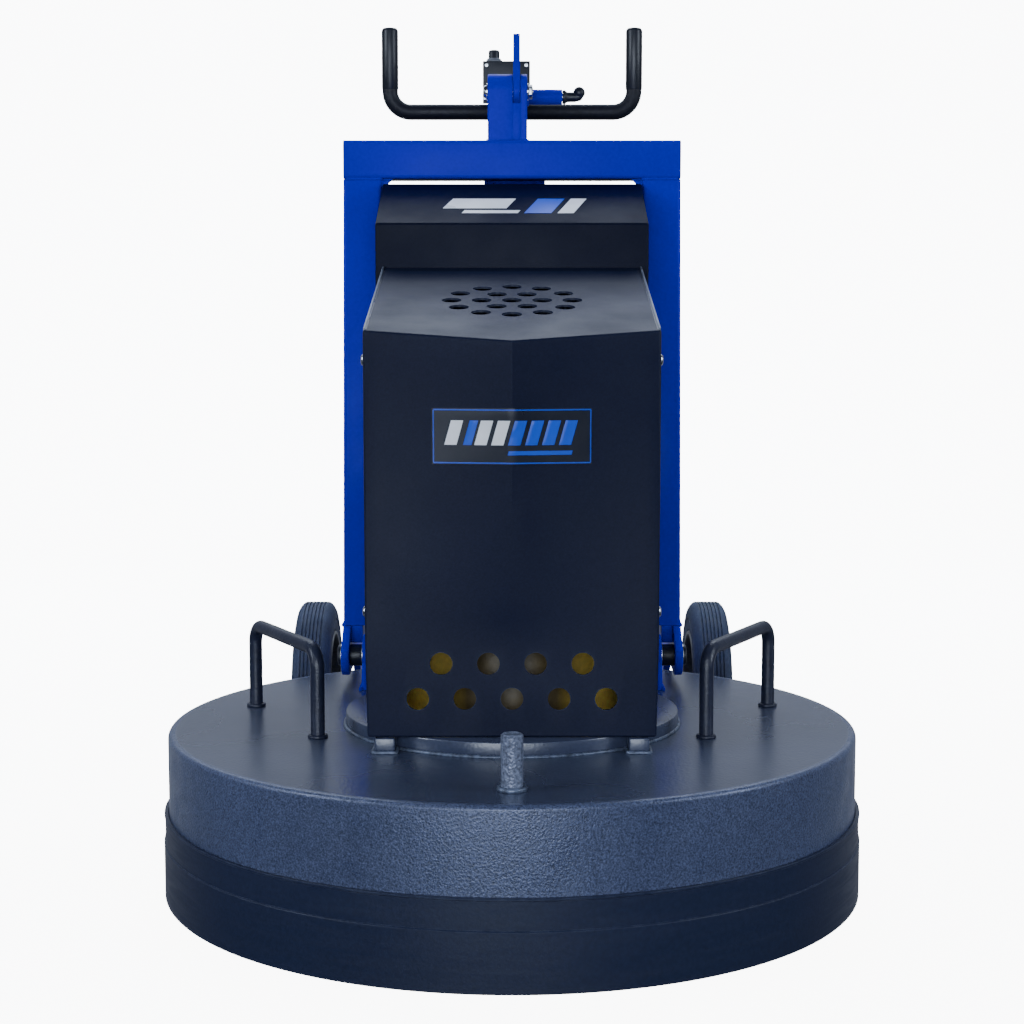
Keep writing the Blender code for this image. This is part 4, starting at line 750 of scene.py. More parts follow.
class GRINDER_OT_tools(bpy.types.Operator):
    """Build the three tool heads with their abrasive segments, and the carrier that turns them"""
    bl_idname = "grinder.tools"
    bl_label = "Tool heads"

    def execute(self, context):
        size = context.scene.grinder_tools
        for index in (1, 2, 3):
            self.head(size, index)
        box_low, box_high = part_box("carrier")
        outer, at = box_high.x, (0, DECK_Y, 0)
        base, top = box_low.z, box_high.z
        edge, thick, boss, shaft, step = 0.002, 0.015, 0.0445, 0.020, 0.205
        disc = turned([(0, base), (outer - edge, base), (outer, base + edge), (outer, base + thick - edge),
                       (outer - edge, base + thick), (boss + edge, base + thick), (boss, base + thick + edge),
                       (boss, step),
                       (shaft, step), (shaft, top - 0.001), (shaft - 0.001, top), (0, top)], "Z", at, 128)
        bores = [rod(0.0306, base - 0.01, base + 0.03, "Z", (at.x, at.y, 0), 48)
                 for at in (middle(f"tool_disc_{i}") for i in (1, 2, 3))]
        piece("carrier_disc", punched(disc, *bores), "carrier", "grey_iron", ["carrier"])
        bolts = bolt_heads(0.110, 6, 0.008, base - 0.006, base + 0.0002, "Z", at, radians(30))
        piece("carrier_bolts", bolts, "carrier", "bright_steel")
        repaint("oiled_steel", "sun_gear", "planet_gear_1", "planet_gear_2", "planet_gear_3", "carrier_bearing",
                "output_gear", "pinion_gear")
        return {"FINISHED"}

    def head(self, size, index):
        """A spindle plate, and under it a backing disc with a ring of segments."""
        body = f"tool_head_{index}"
        box_low, box_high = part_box(f"tool_disc_{index}")
        mid = middle(f"tool_disc_{index}")
        at = (mid.x, mid.y, 0)
        outer = (box_high.x - box_low.x) / 2
        face = box_low.z + size.segment_height
        backing = turned([(0.020, face), (outer - 0.003, face), (outer, face + 0.003),
                          (outer, box_high.z - 0.002),
                          (outer - 0.002, box_high.z), (0.020, box_high.z)], "Z", at, 96, closed=True)
        piece(f"backing_disc_{index}", backing, body, "grey_iron")
        inner, rim = outer - 0.048, outer - 0.005
        fill = 0.68
        half = pi / size.segments * fill
        shapes = []
        for i in range(size.segments):
            a = tau * i / size.segments
            arc = [(mid.x + r * cos(a + half * s), mid.y + r * sin(a + half * s))
                   for r, steps in ((rim, (-1, -0.5, 0, 0.5, 1)), (inner, (1, 0.5, 0, -0.5, -1)))
                   for s in steps]
            shapes.append(soften(plate(arc, box_low.z, face + 0.0004), 0.0012, 2, 40))
        piece(f"abrasive_segments_{index}", joined(*shapes), body, "abrasive_segment", [f"tool_disc_{index}"])
        plate_low, plate_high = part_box(f"spindle_plate_{index}")
        wide = (plate_high.x - plate_low.x) / 2
        base, top, edge, thick = plate_low.z, plate_high.z, 0.002, 0.020
        hub, neck, shaft = 0.045, 0.030, 0.020
        seat, shoulder = 0.0845, 0.1005
        spindle = turned([(0, base), (wide - edge, base), (wide, base + edge), (wide, base + thick - edge),
                          (wide - edge, base + thick), (hub + 0.004, base + thick), (hub, base + thick + 0.004),
                          (hub, seat),
                          (neck, seat), (neck, shoulder), (shaft, shoulder), (shaft, top), (0, top)], "Z", at,
                         96)
        piece(f"spindle_{index}", spindle, body, "grey_iron", [f"spindle_plate_{index}"])
        heads = bolt_heads(wide - 0.028, size.bolts, 0.0085, base + thick - 0.0001, base + 0.0275, "Z", at)
        piece(f"spindle_bolts_{index}", heads, body, "bright_steel")
        centre_bolt = bolt_heads(0.0, 1, 0.010, face + 0.0004, face + 0.0085, "Z", at)
        piece(f"centre_bolt_{index}", centre_bolt, body, "bright_steel")


class GRINDER_OT_drive(bpy.types.Operator):
    """Build the gear case, the finned motor and the fan cowl inside the cover"""
    bl_idname = "grinder.drive"
    bl_label = "Gear case and motor"

    def execute(self, context):
        box_low, box_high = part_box("gearbox_housing")
        at, outer = (0, DECK_Y, 0), box_high.x
        rim, base, top = outer - 0.0015, box_low.z, box_high.z
        case = turned([(0, top), (outer - 0.015, top), (outer - 0.012, top - 0.001), (outer - 0.0035,
                top - 0.011),
                       (rim, top - 0.016), (rim, base + 0.0135), (outer, base + 0.012), (outer, base),
                       (outer - 0.008, base), (outer - 0.008, top - 0.008), (0, top - 0.008)], "Z", at, 128,
                      closed=False)
        bore = rod(0.0086, top - 0.02, top + 0.01, "Z", (0, MOTOR_Y, 0), 32)
        piece("gear_case", punched(case, bore), "head", "cast_paint", ["gearbox_housing"])
        piece("gear_case_bolts", bolt_heads(outer - 0.022, 10, 0.0065, box_high.z - 0.0008, box_high.z + 0.0045,
                "Z", at, radians(18)),
              "head", "bright_steel")
        self.motor()
        repaint("copper_winding", "stator")
        repaint("oiled_steel", "motor_rotor")
        repaint("black_plastic", "cooling_fan")
        return {"FINISHED"}

    def motor(self):
        """A barrel with cooling fins, and the fan cowl's rolled lip."""
        box_low, box_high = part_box("motor_housing")
        at = (0, MOTOR_Y, 0)
        outer = (box_high.x - box_low.x) / 2
        core, inside, floor = outer - 0.0030, outer - 0.006, box_low.z + 0.010
        barrel = turned([(0.0085, box_low.z), (outer, box_low.z), (outer, box_low.z + 0.012),
                         (core, box_low.z + 0.014),
                         (core, box_high.z - 0.014), (outer, box_high.z - 0.012), (outer, box_high.z),
                         (inside, box_high.z),
                         (inside, floor), (0.0085, floor)], "Z", at, 96, closed=True)
        fins = []
        for i in range(36):
            fin = block((core - 0.001, -0.0011, box_low.z + 0.014), (outer, 0.0011, box_high.z - 0.014))
            fins.append(swung(fin, tau * i / 36, "Z", at))
        piece("motor_barrel", joined(barrel, *fins), "head", "cast_paint", ["motor_housing"])
        cowl_low, cowl_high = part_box("fan_cowl")
        skin = (cowl_high.x - cowl_low.x) / 2
        mouth, wall = 0.062, 0.0017
        outline = [(skin - wall, cowl_low.z), (skin, cowl_low.z), (skin, cowl_high.z - 0.006), (skin - 0.002,
                cowl_high.z - 0.002),
                   (skin - 0.006, cowl_high.z), (mouth, cowl_high.z), (mouth, cowl_high.z - wall),
                   (skin - 0.007, cowl_high.z - wall),
                   (skin - wall - 0.001, cowl_high.z - 0.007)]
        piece("fan_hood", turned(outline, "Z", at, 96, closed=True), "head", "powder_coat", ["fan_cowl"])


# ---------------------------------------------------------------- front cover

class CoverSheet:
    """Where the cover's bent sheet runs, from its box and its sizes."""

    def __init__(self, size):
        box_low, box_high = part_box("front_cover")
        self.size = size
        self.half = box_high.x
        self.back = box_high.y
        self.front = box_low.y + size.prow
        self.base = box_low.z
        self.corner = box_high.z - (self.back - self.front) * tan(size.slope)

    def top(self, y):
        return self.corner + (y - self.front) * tan(self.size.slope)

    def face(self, x, z):
        """Depth of the upper front face at a width and a height."""
        share = max(0.0, 1 - abs(x) / self.half)
        crest = self.top(self.front - self.size.prow * share)
        rise = (z - self.size.fold) / (crest - self.size.fold)
        return self.front - self.size.prow * share * min(1.0, max(0.0, rise))

    def solid(self, inset, base, back):
        """A flat grid folded round the front and both sides, then closed above, below and behind."""
        flank, half_face, rise = 2, 10, 12
        across, up = 2 * (flank + half_face), rise + 1
        sheet = bmesh.new()
        bmesh.ops.create_grid(sheet, x_segments=across, y_segments=up, size=0.5)
        table = {(round((v.co.x + 0.5) * across), round((v.co.y + 0.5) * up)): v for v in sheet.verts}
        for (i, j), vert in table.items():
            narrow = 0.002 if j == 0 else 0.0
            wide, front = self.half - inset - narrow, self.front + inset + narrow
            rim = flank + 2 * half_face
            if i < flank or i > rim:
                steps = (flank - i) / flank if i < flank else (i - rim) / flank
                x, y, share = (-wide if i < flank else wide), front + (back - front) * steps, 0.0
            else:
                x = wide * (i - flank - half_face) / half_face
                y, share = front, 1 - abs(x) / wide
            if j < 2:
                vert.co = (x, y, base if j == 0 else self.size.fold - inset)
            else:
                part = (j - 1) / rise
                deep = y - self.size.prow * share
                crest = self.top(deep) - inset
                fold = self.size.fold - inset
                vert.co = (x, y - self.size.prow * share * part, fold + (crest - fold) * part)
        sheet.faces.new([table[i, up] for i in range(across + 1)])
        sheet.faces.new([table[i, 0] for i in range(across + 1)])
        sheet.faces.new([table[0, j] for j in range(up + 1)] + [table[across, j] for j in range(up, -1, -1)])
        bmesh.ops.recalc_face_normals(sheet, faces=sheet.faces)
        return sheet

    def draped(self, x, z, wide, tall, slant, lift):
        """A thin film laid on the upper front face; slant leans its sides."""
        film = bmesh.new()
        bmesh.ops.create_grid(film, x_segments=max(2, round(wide / 0.004)), y_segments=6, size=0.5)
        for vert in film.verts:
            height = z + vert.co.y * tall
            width = x + vert.co.x * wide + slant * vert.co.y * tall
            vert.co = (width, self.face(width, height) - lift, height)
        bmesh.ops.solidify(film, geom=film.faces[:], thickness=0.0002)
        bmesh.ops.recalc_face_normals(film, faces=film.faces)
        return film


class GRINDER_OT_cover(bpy.types.Operator):
    """Build the bent front cover with its vents, side edges, screws and label"""
    bl_idname = "grinder.cover"
    bl_label = "Front cover"

    def execute(self, context):
        size = context.scene.grinder_cover
        sheet = CoverSheet(size)
        outer = soften(sheet.solid(0.0, sheet.base, sheet.back), size.bend, 6, 40)
        inner = sheet.solid(size.sheet, sheet.base - 0.04, sheet.back + 0.04)
        holes = []
        for count, row in zip((5, 4), size.vent_rows):
            for i in range(count):
                x = size.vent_pitch * (i - (count - 1) / 2)
                holes.append(rod(size.vent, sheet.front - 0.02, sheet.front + 0.02, "Y", (x, 0, row), 40))
        middle_y = DECK_Y + size.top_place
        for ring, count in ((0, 1), (1, 6), (2, 12)):
            for i in range(count):
                a = tau * i / count
                x, y = size.top_pitch * ring * cos(a), middle_y + size.top_pitch * ring * sin(a)
                holes.append(rod(size.top_vent, sheet.top(y) - 0.02, sheet.top(y) + 0.02, "Z", (x, y, 0), 36))
        for node in ("cover_screw_lower_left", "cover_screw_upper_left"):
            at = middle(node)
            holes.append(rod(0.0036, -sheet.half - 0.01, sheet.half + 0.01, "X", (0, at.y, at.z), 20))
        piece("cover_sheet", punched(outer, inner, *holes), "head", "powder_coat", ["front_cover"], 14)
        self.edges(sheet)
        for side, name in SIDES:
            for level in ("lower", "upper"):
                self.screw(f"cover_screw_{level}_{name}", side, sheet)
        self.label(size, sheet)
        return {"FINISHED"}

    def edges(self, sheet):
        """The side panels' raw edges, which stand a little above the top. Their lighter colour is a painted
        highlight, and a dark strip inside each is painted groove shade.
        """
        for side, name in SIDES:
            first, last = sheet.front + 0.004, sheet.back - 0.001
            outline = [(first, sheet.top(first) - 0.003), (last, sheet.top(last) - 0.003),
                       (last, sheet.top(last) + 0.0016), (first, sheet.top(first) + 0.0016)]
            x = sorted((side * (sheet.half - 0.0004), side * (sheet.half - 0.0026)))
            piece(f"cover_side_edge_{name}", soften(plate(outline, x[0], x[1], "X"), 0.0005), "head",
                  "painted_highlight_edge")
            # A near-black strip inside each edge: painted shade of the groove between the edge and the top.
            groove = [(first, sheet.top(first) - 0.001), (last, sheet.top(last) - 0.001),
                      (last, sheet.top(last) + 0.0003), (first, sheet.top(first) + 0.0003)]
            x = sorted((side * (sheet.half - 0.0026), side * (sheet.half - 0.0042)))
            piece(f"cover_side_groove_shade_{name}", plate(groove, x[0], x[1], "X"), "head", "label_face")

    def screw(self, node, side, sheet):
        """A button-head screw with a hexagon socket."""
        at = middle(node)
        face = side * (sheet.half + 0.0003)
        dome = [(0, face - side * 0.012), (0.003, face - side * 0.012), (0.003, face), (0.0065, face),
                (0.0063, face + side * 0.0009),
                (0.0056, face + side * 0.0022), (0.0043, face + side * 0.0031), (0.0022, face + side * 0.0035),
                (0, face + side * 0.0035)]
        socket = rod(0.0021, *sorted((face + side * 0.0015, face + side * 0.006)), "X", (0, at.y, at.z), 6)
        piece(node.replace("cover_screw", "button_screw"), punched(turned(dome, "X", (0, at.y, at.z), 32),
                socket),
              "head", "bright_steel", [node])

    def label(self, size, sheet):
        """A dark label with a thin border and slanted bars."""
        wide, tall = size.label
        z = size.label_height
        piece("label_plate", sheet.draped(0, z, wide, tall, 0, 0.0007), "head", "label_face")
        rim = 0.0011
        for name, x, y, w, t in (("upper", 0, tall / 2 - 0.0016, wide - 0.003, rim),
                                 ("lower", 0, 0.0016 - tall / 2, wide - 0.003, rim),
                                 ("left", 0.0016 - wide / 2, 0, rim, tall - 0.004), ("right", wide / 2 - 0.0016,
                0, rim, tall - 0.004)):
            piece(f"label_border_{name}", sheet.draped(x, z + y, w, t, 0, 0.0010), "head", "label_blue")
        starts = (-0.068, -0.050, -0.036, -0.018, 0.000, 0.018, 0.036, 0.054)
        widths = (0.013, 0.009, 0.013, 0.013, 0.013, 0.013, 0.013, 0.013)
        for i, (x, w) in enumerate(zip(starts, widths)):
            finish = "label_white" if i in (0, 2, 3) else "label_blue"
            piece(f"label_bar_{i + 1}", sheet.draped(x + 0.006, z + 0.004, w, 0.026, 0.28, 0.0010), "head",
                  finish)
        piece("label_rule", sheet.draped(0.030, z - 0.0175, 0.068, 0.0042, 0.28, 0.0010), "head", "label_blue")


# ---------------------------------------------------------------- pivot and wheeled frame

class GRINDER_OT_pivot(bpy.types.Operator):
    """Build the two pivot brackets on the deck, and their pins, bushes and washers"""
    bl_idname = "grinder.pivot"
    bl_label = "Pivot"

    def execute(self, context):
        size = context.scene.grinder_frame
        for side, name in SIDES:
            node = f"pivot_bracket_{name}"
            box_low, box_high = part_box(node)
            pin = middle(f"pivot_pin_{name}")
            eye = rounded((pin.y, pin.z), size.bracket_eye, -15, 195, 28)
            outline = [(box_low.y, box_low.z), (box_high.y, box_low.z), *eye]
            foot = [(DECK_Y + 0.188, box_low.z), (DECK_Y + 0.286, box_low.z)]
            flat = plate([*foot, *outline[2:]], box_low.x, box_high.x, "X")
            bore = rod(0.0106, box_low.x - 0.01, box_high.x + 0.01, "X", (0, pin.y, pin.z), 32)
            piece(f"bracket_plate_{name}", punched(soften(flat, 0.0009, 2, 50), bore), "head", "frame_paint",
                  [node])
            for x, which in ((box_low.x - 0.0008, "inner"), (box_high.x + 0.0008, "outer")):
                seam = weld([(x, foot[0][0], box_low.z + 0.0014), (x, foot[1][0], box_low.z + 0.0014)],
                            size.weld)
                piece(f"bracket_weld_{which}_{name}", seam, "head", "frame_paint", sharp=60)
            self.pin(side, name, pin)
        return {"FINISHED"}

    def pin(self, side, name, pin):
        """A pin with a black bush between bracket and arm, steel washers and a domed cap."""
        node = f"pivot_pin_{name}"
        box_low, box_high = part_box(node)
        inner, outer = sorted((abs(box_low.x), abs(box_high.x)))
        bracket_out = max(abs(low(f"pivot_bracket_{name}").x), abs(high(f"pivot_bracket_{name}").x))
        arm_in = min(abs(low(f"wheel_arm_{name}").x), abs(high(f"wheel_arm_{name}").x))
        arm_out = max(abs(low(f"wheel_arm_{name}").x), abs(high(f"wheel_arm_{name}").x))
        at = (0, pin.y, pin.z)

        def along(first, last):
            return sorted((side * first, side * last))

        core = rod(0.0098, *along(inner + 0.002, outer - 0.002), "X", at, 32)
        hexagon = soften(rod(0.014, *along(inner, inner + 0.0058), "X", at, 6), 0.0008)
        piece(f"pin_core_{name}", joined(core, hexagon), "head", "bright_steel", [node])
        bush = soften(turned([(0.0101, side * (bracket_out + 0.0018)), (0.014, side * (bracket_out + 0.0018)),
                              (0.014, side * (arm_in - 0.0003)), (0.0101, side * (arm_in - 0.0003))], "X", at,
                             40, closed=True), 0.0005)
        piece(f"pin_bush_{name}", bush, "head", "black_plastic")
        washers = [soften(turned([(0.0101, side * a), (r, side * a), (r, side * b), (0.0101, side * b)], "X",
                                 at, 40, closed=True), 0.0002)
                   for a, b, r in ((bracket_out + 0.0003, bracket_out + 0.0017, 0.0150), (arm_out + 0.0003,
                arm_out + 0.0016, 0.0145))]
        piece(f"pin_washers_{name}", joined(*washers), "head", "bright_steel")
        face = arm_out + 0.0017
        cap = turned([(0, side * face), (0.0135, side * face), (0.0135, side * (outer - 0.0018)),
                      (0.0125, side * (outer - 0.0006)),
                      (0.010, side * outer), (0, side * outer)], "X", at, 40)
        piece(f"pin_cap_{name}", cap, "head", "black_plastic")


class GRINDER_OT_chassis(bpy.types.Operator):
    """Build the leaning uprights, the top bar, the cross bar, the wheel arms, gussets and welds"""
    bl_idname = "grinder.chassis"
    bl_label = "Frame"

    def execute(self, context):
        size = context.scene.grinder_frame
        bar_low, bar_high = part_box("frame_top_bar")
        piece("top_bar", self.tube(block(bar_low, bar_high), size.corner, "X"), "chassis", "frame_paint",
              ["frame_top_bar"])
        cross_low, cross_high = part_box("frame_cross_bar")
        piece("cross_bar", self.tube(block(cross_low, cross_high), size.corner, "X"), "chassis", "frame_paint",
              ["frame_cross_bar"])
        for side, name in SIDES:
            self.upright(size, side, name, bar_low, cross_low, cross_high)
            self.arm(size, side, name)
        return {"FINISHED"}

    def tube(self, solid, corner, along):
        """Rounds the long edges of a square tube, and its welded ends a little."""
        edges = [e for e in solid.edges
                 if abs((e.verts[0].co - e.verts[1].co).normalized().dot(ALONG[along])) > 0.8]
        bmesh.ops.bevel(solid, geom=edges, offset=corner, offset_type="OFFSET", segments=5, profile=0.5,
                        affect="EDGES", material=-1)
        return soften(solid, 0.0012, 2, 60)

    def upright(self, size, side, name, bar_low, cross_low, cross_high):
        node = f"upright_{name}"
        box_low, box_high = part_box(node)
        tube = box_high.x - box_low.x
        lean = box_high.y - box_low.y - tube
        leg = block(box_low, (box_high.x, box_low.y + tube, box_high.z))
        for vert in leg.verts:
            if vert.co.z > box_low.z + 0.1:
                vert.co.y += lean
        piece(f"upright_tube_{name}", self.tube(leg, size.corner, "Z"), "chassis", "frame_paint", [node])
        front, back = bar_low.y + 0.001, bar_low.y + tube - 0.001
        z = bar_low.z - 0.0002
        x_in, x_out = sorted((box_low.x, box_high.x), key=abs)
        inner = x_in + side * 0.0006
        seam = weld([(x_out - side * 0.004, front, z), (inner + side * 0.002, front, z), (inner, front + 0.003,
                z), (inner, back - 0.003, z),
                     (inner + side * 0.002, back, z), (x_out - side * 0.004, back, z)], size.weld)
        piece(f"upright_weld_{name}", seam, "chassis", "frame_paint", sharp=60)
        mid = bar_low.y + tube / 2
        corner = [(x_in - side * 0.0001, z), (x_in - side * size.gusset, z), (x_in - side * 0.0001,
                z - size.gusset)]
        gusset = soften(plate(corner, mid - 0.018, mid - 0.012, "Y"), 0.0008)
        piece(f"gusset_{name}", gusset, "chassis", "frame_paint")
        edge = [(x_in - side * 0.0008, mid - 0.0185, z - size.gusset), (x_in - side * 0.0008, mid - 0.0185,
                z - 0.001),
                (x_in - side * size.gusset, mid - 0.0185, z - 0.0006)]
        piece(f"gusset_weld_{name}", weld(edge, 0.0012), "chassis", "frame_paint", sharp=60)
        x = x_in - side * 0.0012
        joint = [(x, cross_low.y + 0.001, cross_low.z + 0.003), (x, cross_low.y - 0.0004, cross_low.z + 0.005),
                 (x, cross_low.y - 0.0004, cross_high.z - 0.005), (x, cross_low.y + 0.001,
                cross_high.z - 0.002)]
        piece(f"cross_weld_{name}", weld(joint, 0.0018), "chassis", "frame_paint", sharp=60)

    def arm(self, size, side, name):
        """A cranked plate from the pivot down to the axle, welded under the upright."""
        node = f"wheel_arm_{name}"
        box_low, box_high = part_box(node)
        pin, axle = middle(f"pivot_pin_{name}"), middle("axle")
        foot = low(f"upright_{name}")
        tube = high(f"upright_{name}").x - foot.x
        ground = pin.z - size.eye
        outline = [*rounded((pin.y, pin.z), size.eye, 160, 270, 14), (DECK_Y + 0.3723, ground + 0.006),
                   *rounded((axle.y, axle.z), size.eye, 215, 405, 24), (foot.y + tube + 0.105, box_high.z),
                   (foot.y - 0.004, box_high.z)]
        flat = soften(plate(outline, box_low.x, box_high.x, "X"), 0.0011, 2, 50)
        bores = [rod(r, box_low.x - 0.01, box_high.x + 0.01, "X", (0, at.y, at.z), 32) for r,
                 at in ((0.0107, pin), (0.0105, axle))]
        piece(f"arm_plate_{name}", punched(flat, *bores), "chassis", "frame_paint", [node])
        bracket = max(abs(low(f"pivot_bracket_{name}").x), abs(high(f"pivot_bracket_{name}").x))
        near, far = sorted((side * (bracket + size.shoe_gap), side * (min(abs(box_low.x),
                abs(box_high.x)) - 0.0002)))
        shoe = block((near, foot.y + 0.002, pin.z + 0.013), (far, foot.y + tube - 0.002, foot.z + 0.0006))
        piece(f"upright_shoe_{name}", soften(shoe, 0.0010), "chassis", "frame_paint")
        x = side * (abs(box_high.x if side > 0 else box_low.x) + 0.0004)
        inside = side * (min(abs(box_low.x), abs(box_high.x)) - 0.0004)
        for place, which in ((x, "outer"), (inside, "inner")):
            seam = weld([(place, foot.y + 0.002, box_high.z + 0.0004), (place, foot.y + tube - 0.002,
                    box_high.z + 0.0004)], size.weld)
            piece(f"arm_weld_{which}_{name}", seam, "chassis", "frame_paint", sharp=60)


class GRINDER_OT_wheels(bpy.types.Operator):
    """Build both tyres with their grooves, the hubs and the axle"""
    bl_idname = "grinder.wheels"
    bl_label = "Wheels"

    def execute(self, context):
        size = context.scene.grinder_wheels
        for side, name in SIDES:
            box_low, box_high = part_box(f"tyre_{name}")
            at = middle(f"tyre_{name}")
            half, outer = (box_high.x - box_low.x) / 2, (box_high.z - box_low.z) / 2
            self.tyre(size, name, at, half, outer)
            self.hub(size, name, at, half)
        axle_low, axle_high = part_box("axle")
        at = middle("axle")
        bar = rod(0.0099, axle_low.x + 0.001, axle_high.x - 0.001, "X", (0, at.y, at.z), 32)
        collars = []
        for side, name in SIDES:
            wheel, boss, arm = abs(middle(f"tyre_{name}").x), 0.0265, 0.2208
            for first, last in ((arm, wheel - boss), (wheel + boss, axle_high.x)):
                first, last = sorted((side * first, side * last))
                collars.append(soften(rod(0.0139, first, last, "X", (0, at.y, at.z), 40), 0.0010))
        piece("axle_bar", joined(bar, *collars), "chassis", "bright_steel", ["axle"])
        return {"FINISHED"}

    def tyre(self, size, name, at, half, outer):
        """A tread with round grooves, rounded shoulders and a ringed side wall."""
        bore = size.bore + 0.0003
        side_wall = [(bore, -half + 0.0030), (bore + 0.0020, -half + 0.0008), (bore + 0.006, -half + 0.0003),
                     (0.1010, -half + 0.0003),
                     (0.1018, -half + 0.0012), (0.1034, -half + 0.0012), (0.1042, -half), (0.1120, -half),
                     (0.1180, -half + 0.0012),
                     (0.1225, -half + 0.0036), (outer - 0.0022, -half + 0.0066), (outer - 0.0005,
                -half + 0.0092)]
        tread = []
        reach = half - 0.0105
        pitch = 2 * reach / size.grooves
        for i in range(size.grooves):
            x = -reach + pitch * (i + 0.5)
            tread += [(outer, x - 0.0013), (outer - size.groove_depth, x - 0.0006), (outer - size.groove_depth,
                    x + 0.0006), (outer, x + 0.0013)]
        outline = [*side_wall, *tread, *[(r, -x) for r, x in reversed(side_wall)]]
        piece(f"tyre_tread_{name}", turned(outline, "X", at, size.steps, closed=True), f"wheel_{name}",
              "tyre_tread", [f"tyre_{name}"], 38)

    def hub(self, size, name, at, half):
        """A dished hub with a bearing boss, bolts and a rolled rim."""
        rim = size.bore
        outline = [(0.0105, -half), (0.024, -half), (0.024, -0.006), (0.030, -0.003), (rim - 0.010, -0.003),
                   (rim - 0.005, -0.008),
                   (rim - 0.005, -half), (rim, -half), (rim, half), (rim - 0.005, half), (rim - 0.005, 0.008),
                   (rim - 0.010, 0.003),
                   (0.030, 0.003), (0.024, 0.006), (0.024, half), (0.0105, half)]
        dish = soften(turned(outline, "X", at, 96, closed=True), 0.0007, 2, 28)
        piece(f"hub_dish_{name}", dish, f"wheel_{name}", "grey_iron", [f"wheel_hub_{name}"])
        bolts = []
        for face, tip in ((-0.0029, -0.0075), (0.0029, 0.0075)):
            first, last = sorted((at.x + face, at.x + tip))
            bolts.append(bolt_heads(0.046, size.bolts, 0.0062, first, last, "X", (0, at.y, at.z), radians(18)))
        piece(f"hub_bolts_{name}", joined(*bolts), f"wheel_{name}", "bright_steel")
        seals = [soften(turned([(0.0145, at.x + a), (0.0205, at.x + a), (0.0205, at.x + b), (0.0145, at.x + b)],
                               "X", (0, at.y, at.z), 48, closed=True), 0.0003)
                 for a, b in ((-half - 0.0002, -half + 0.001), (half - 0.001, half + 0.0002))]
        piece(f"hub_seals_{name}", joined(*seals), f"wheel_{name}", "black_plastic")


# ---------------------------------------------------------------- rear enclosure and controls

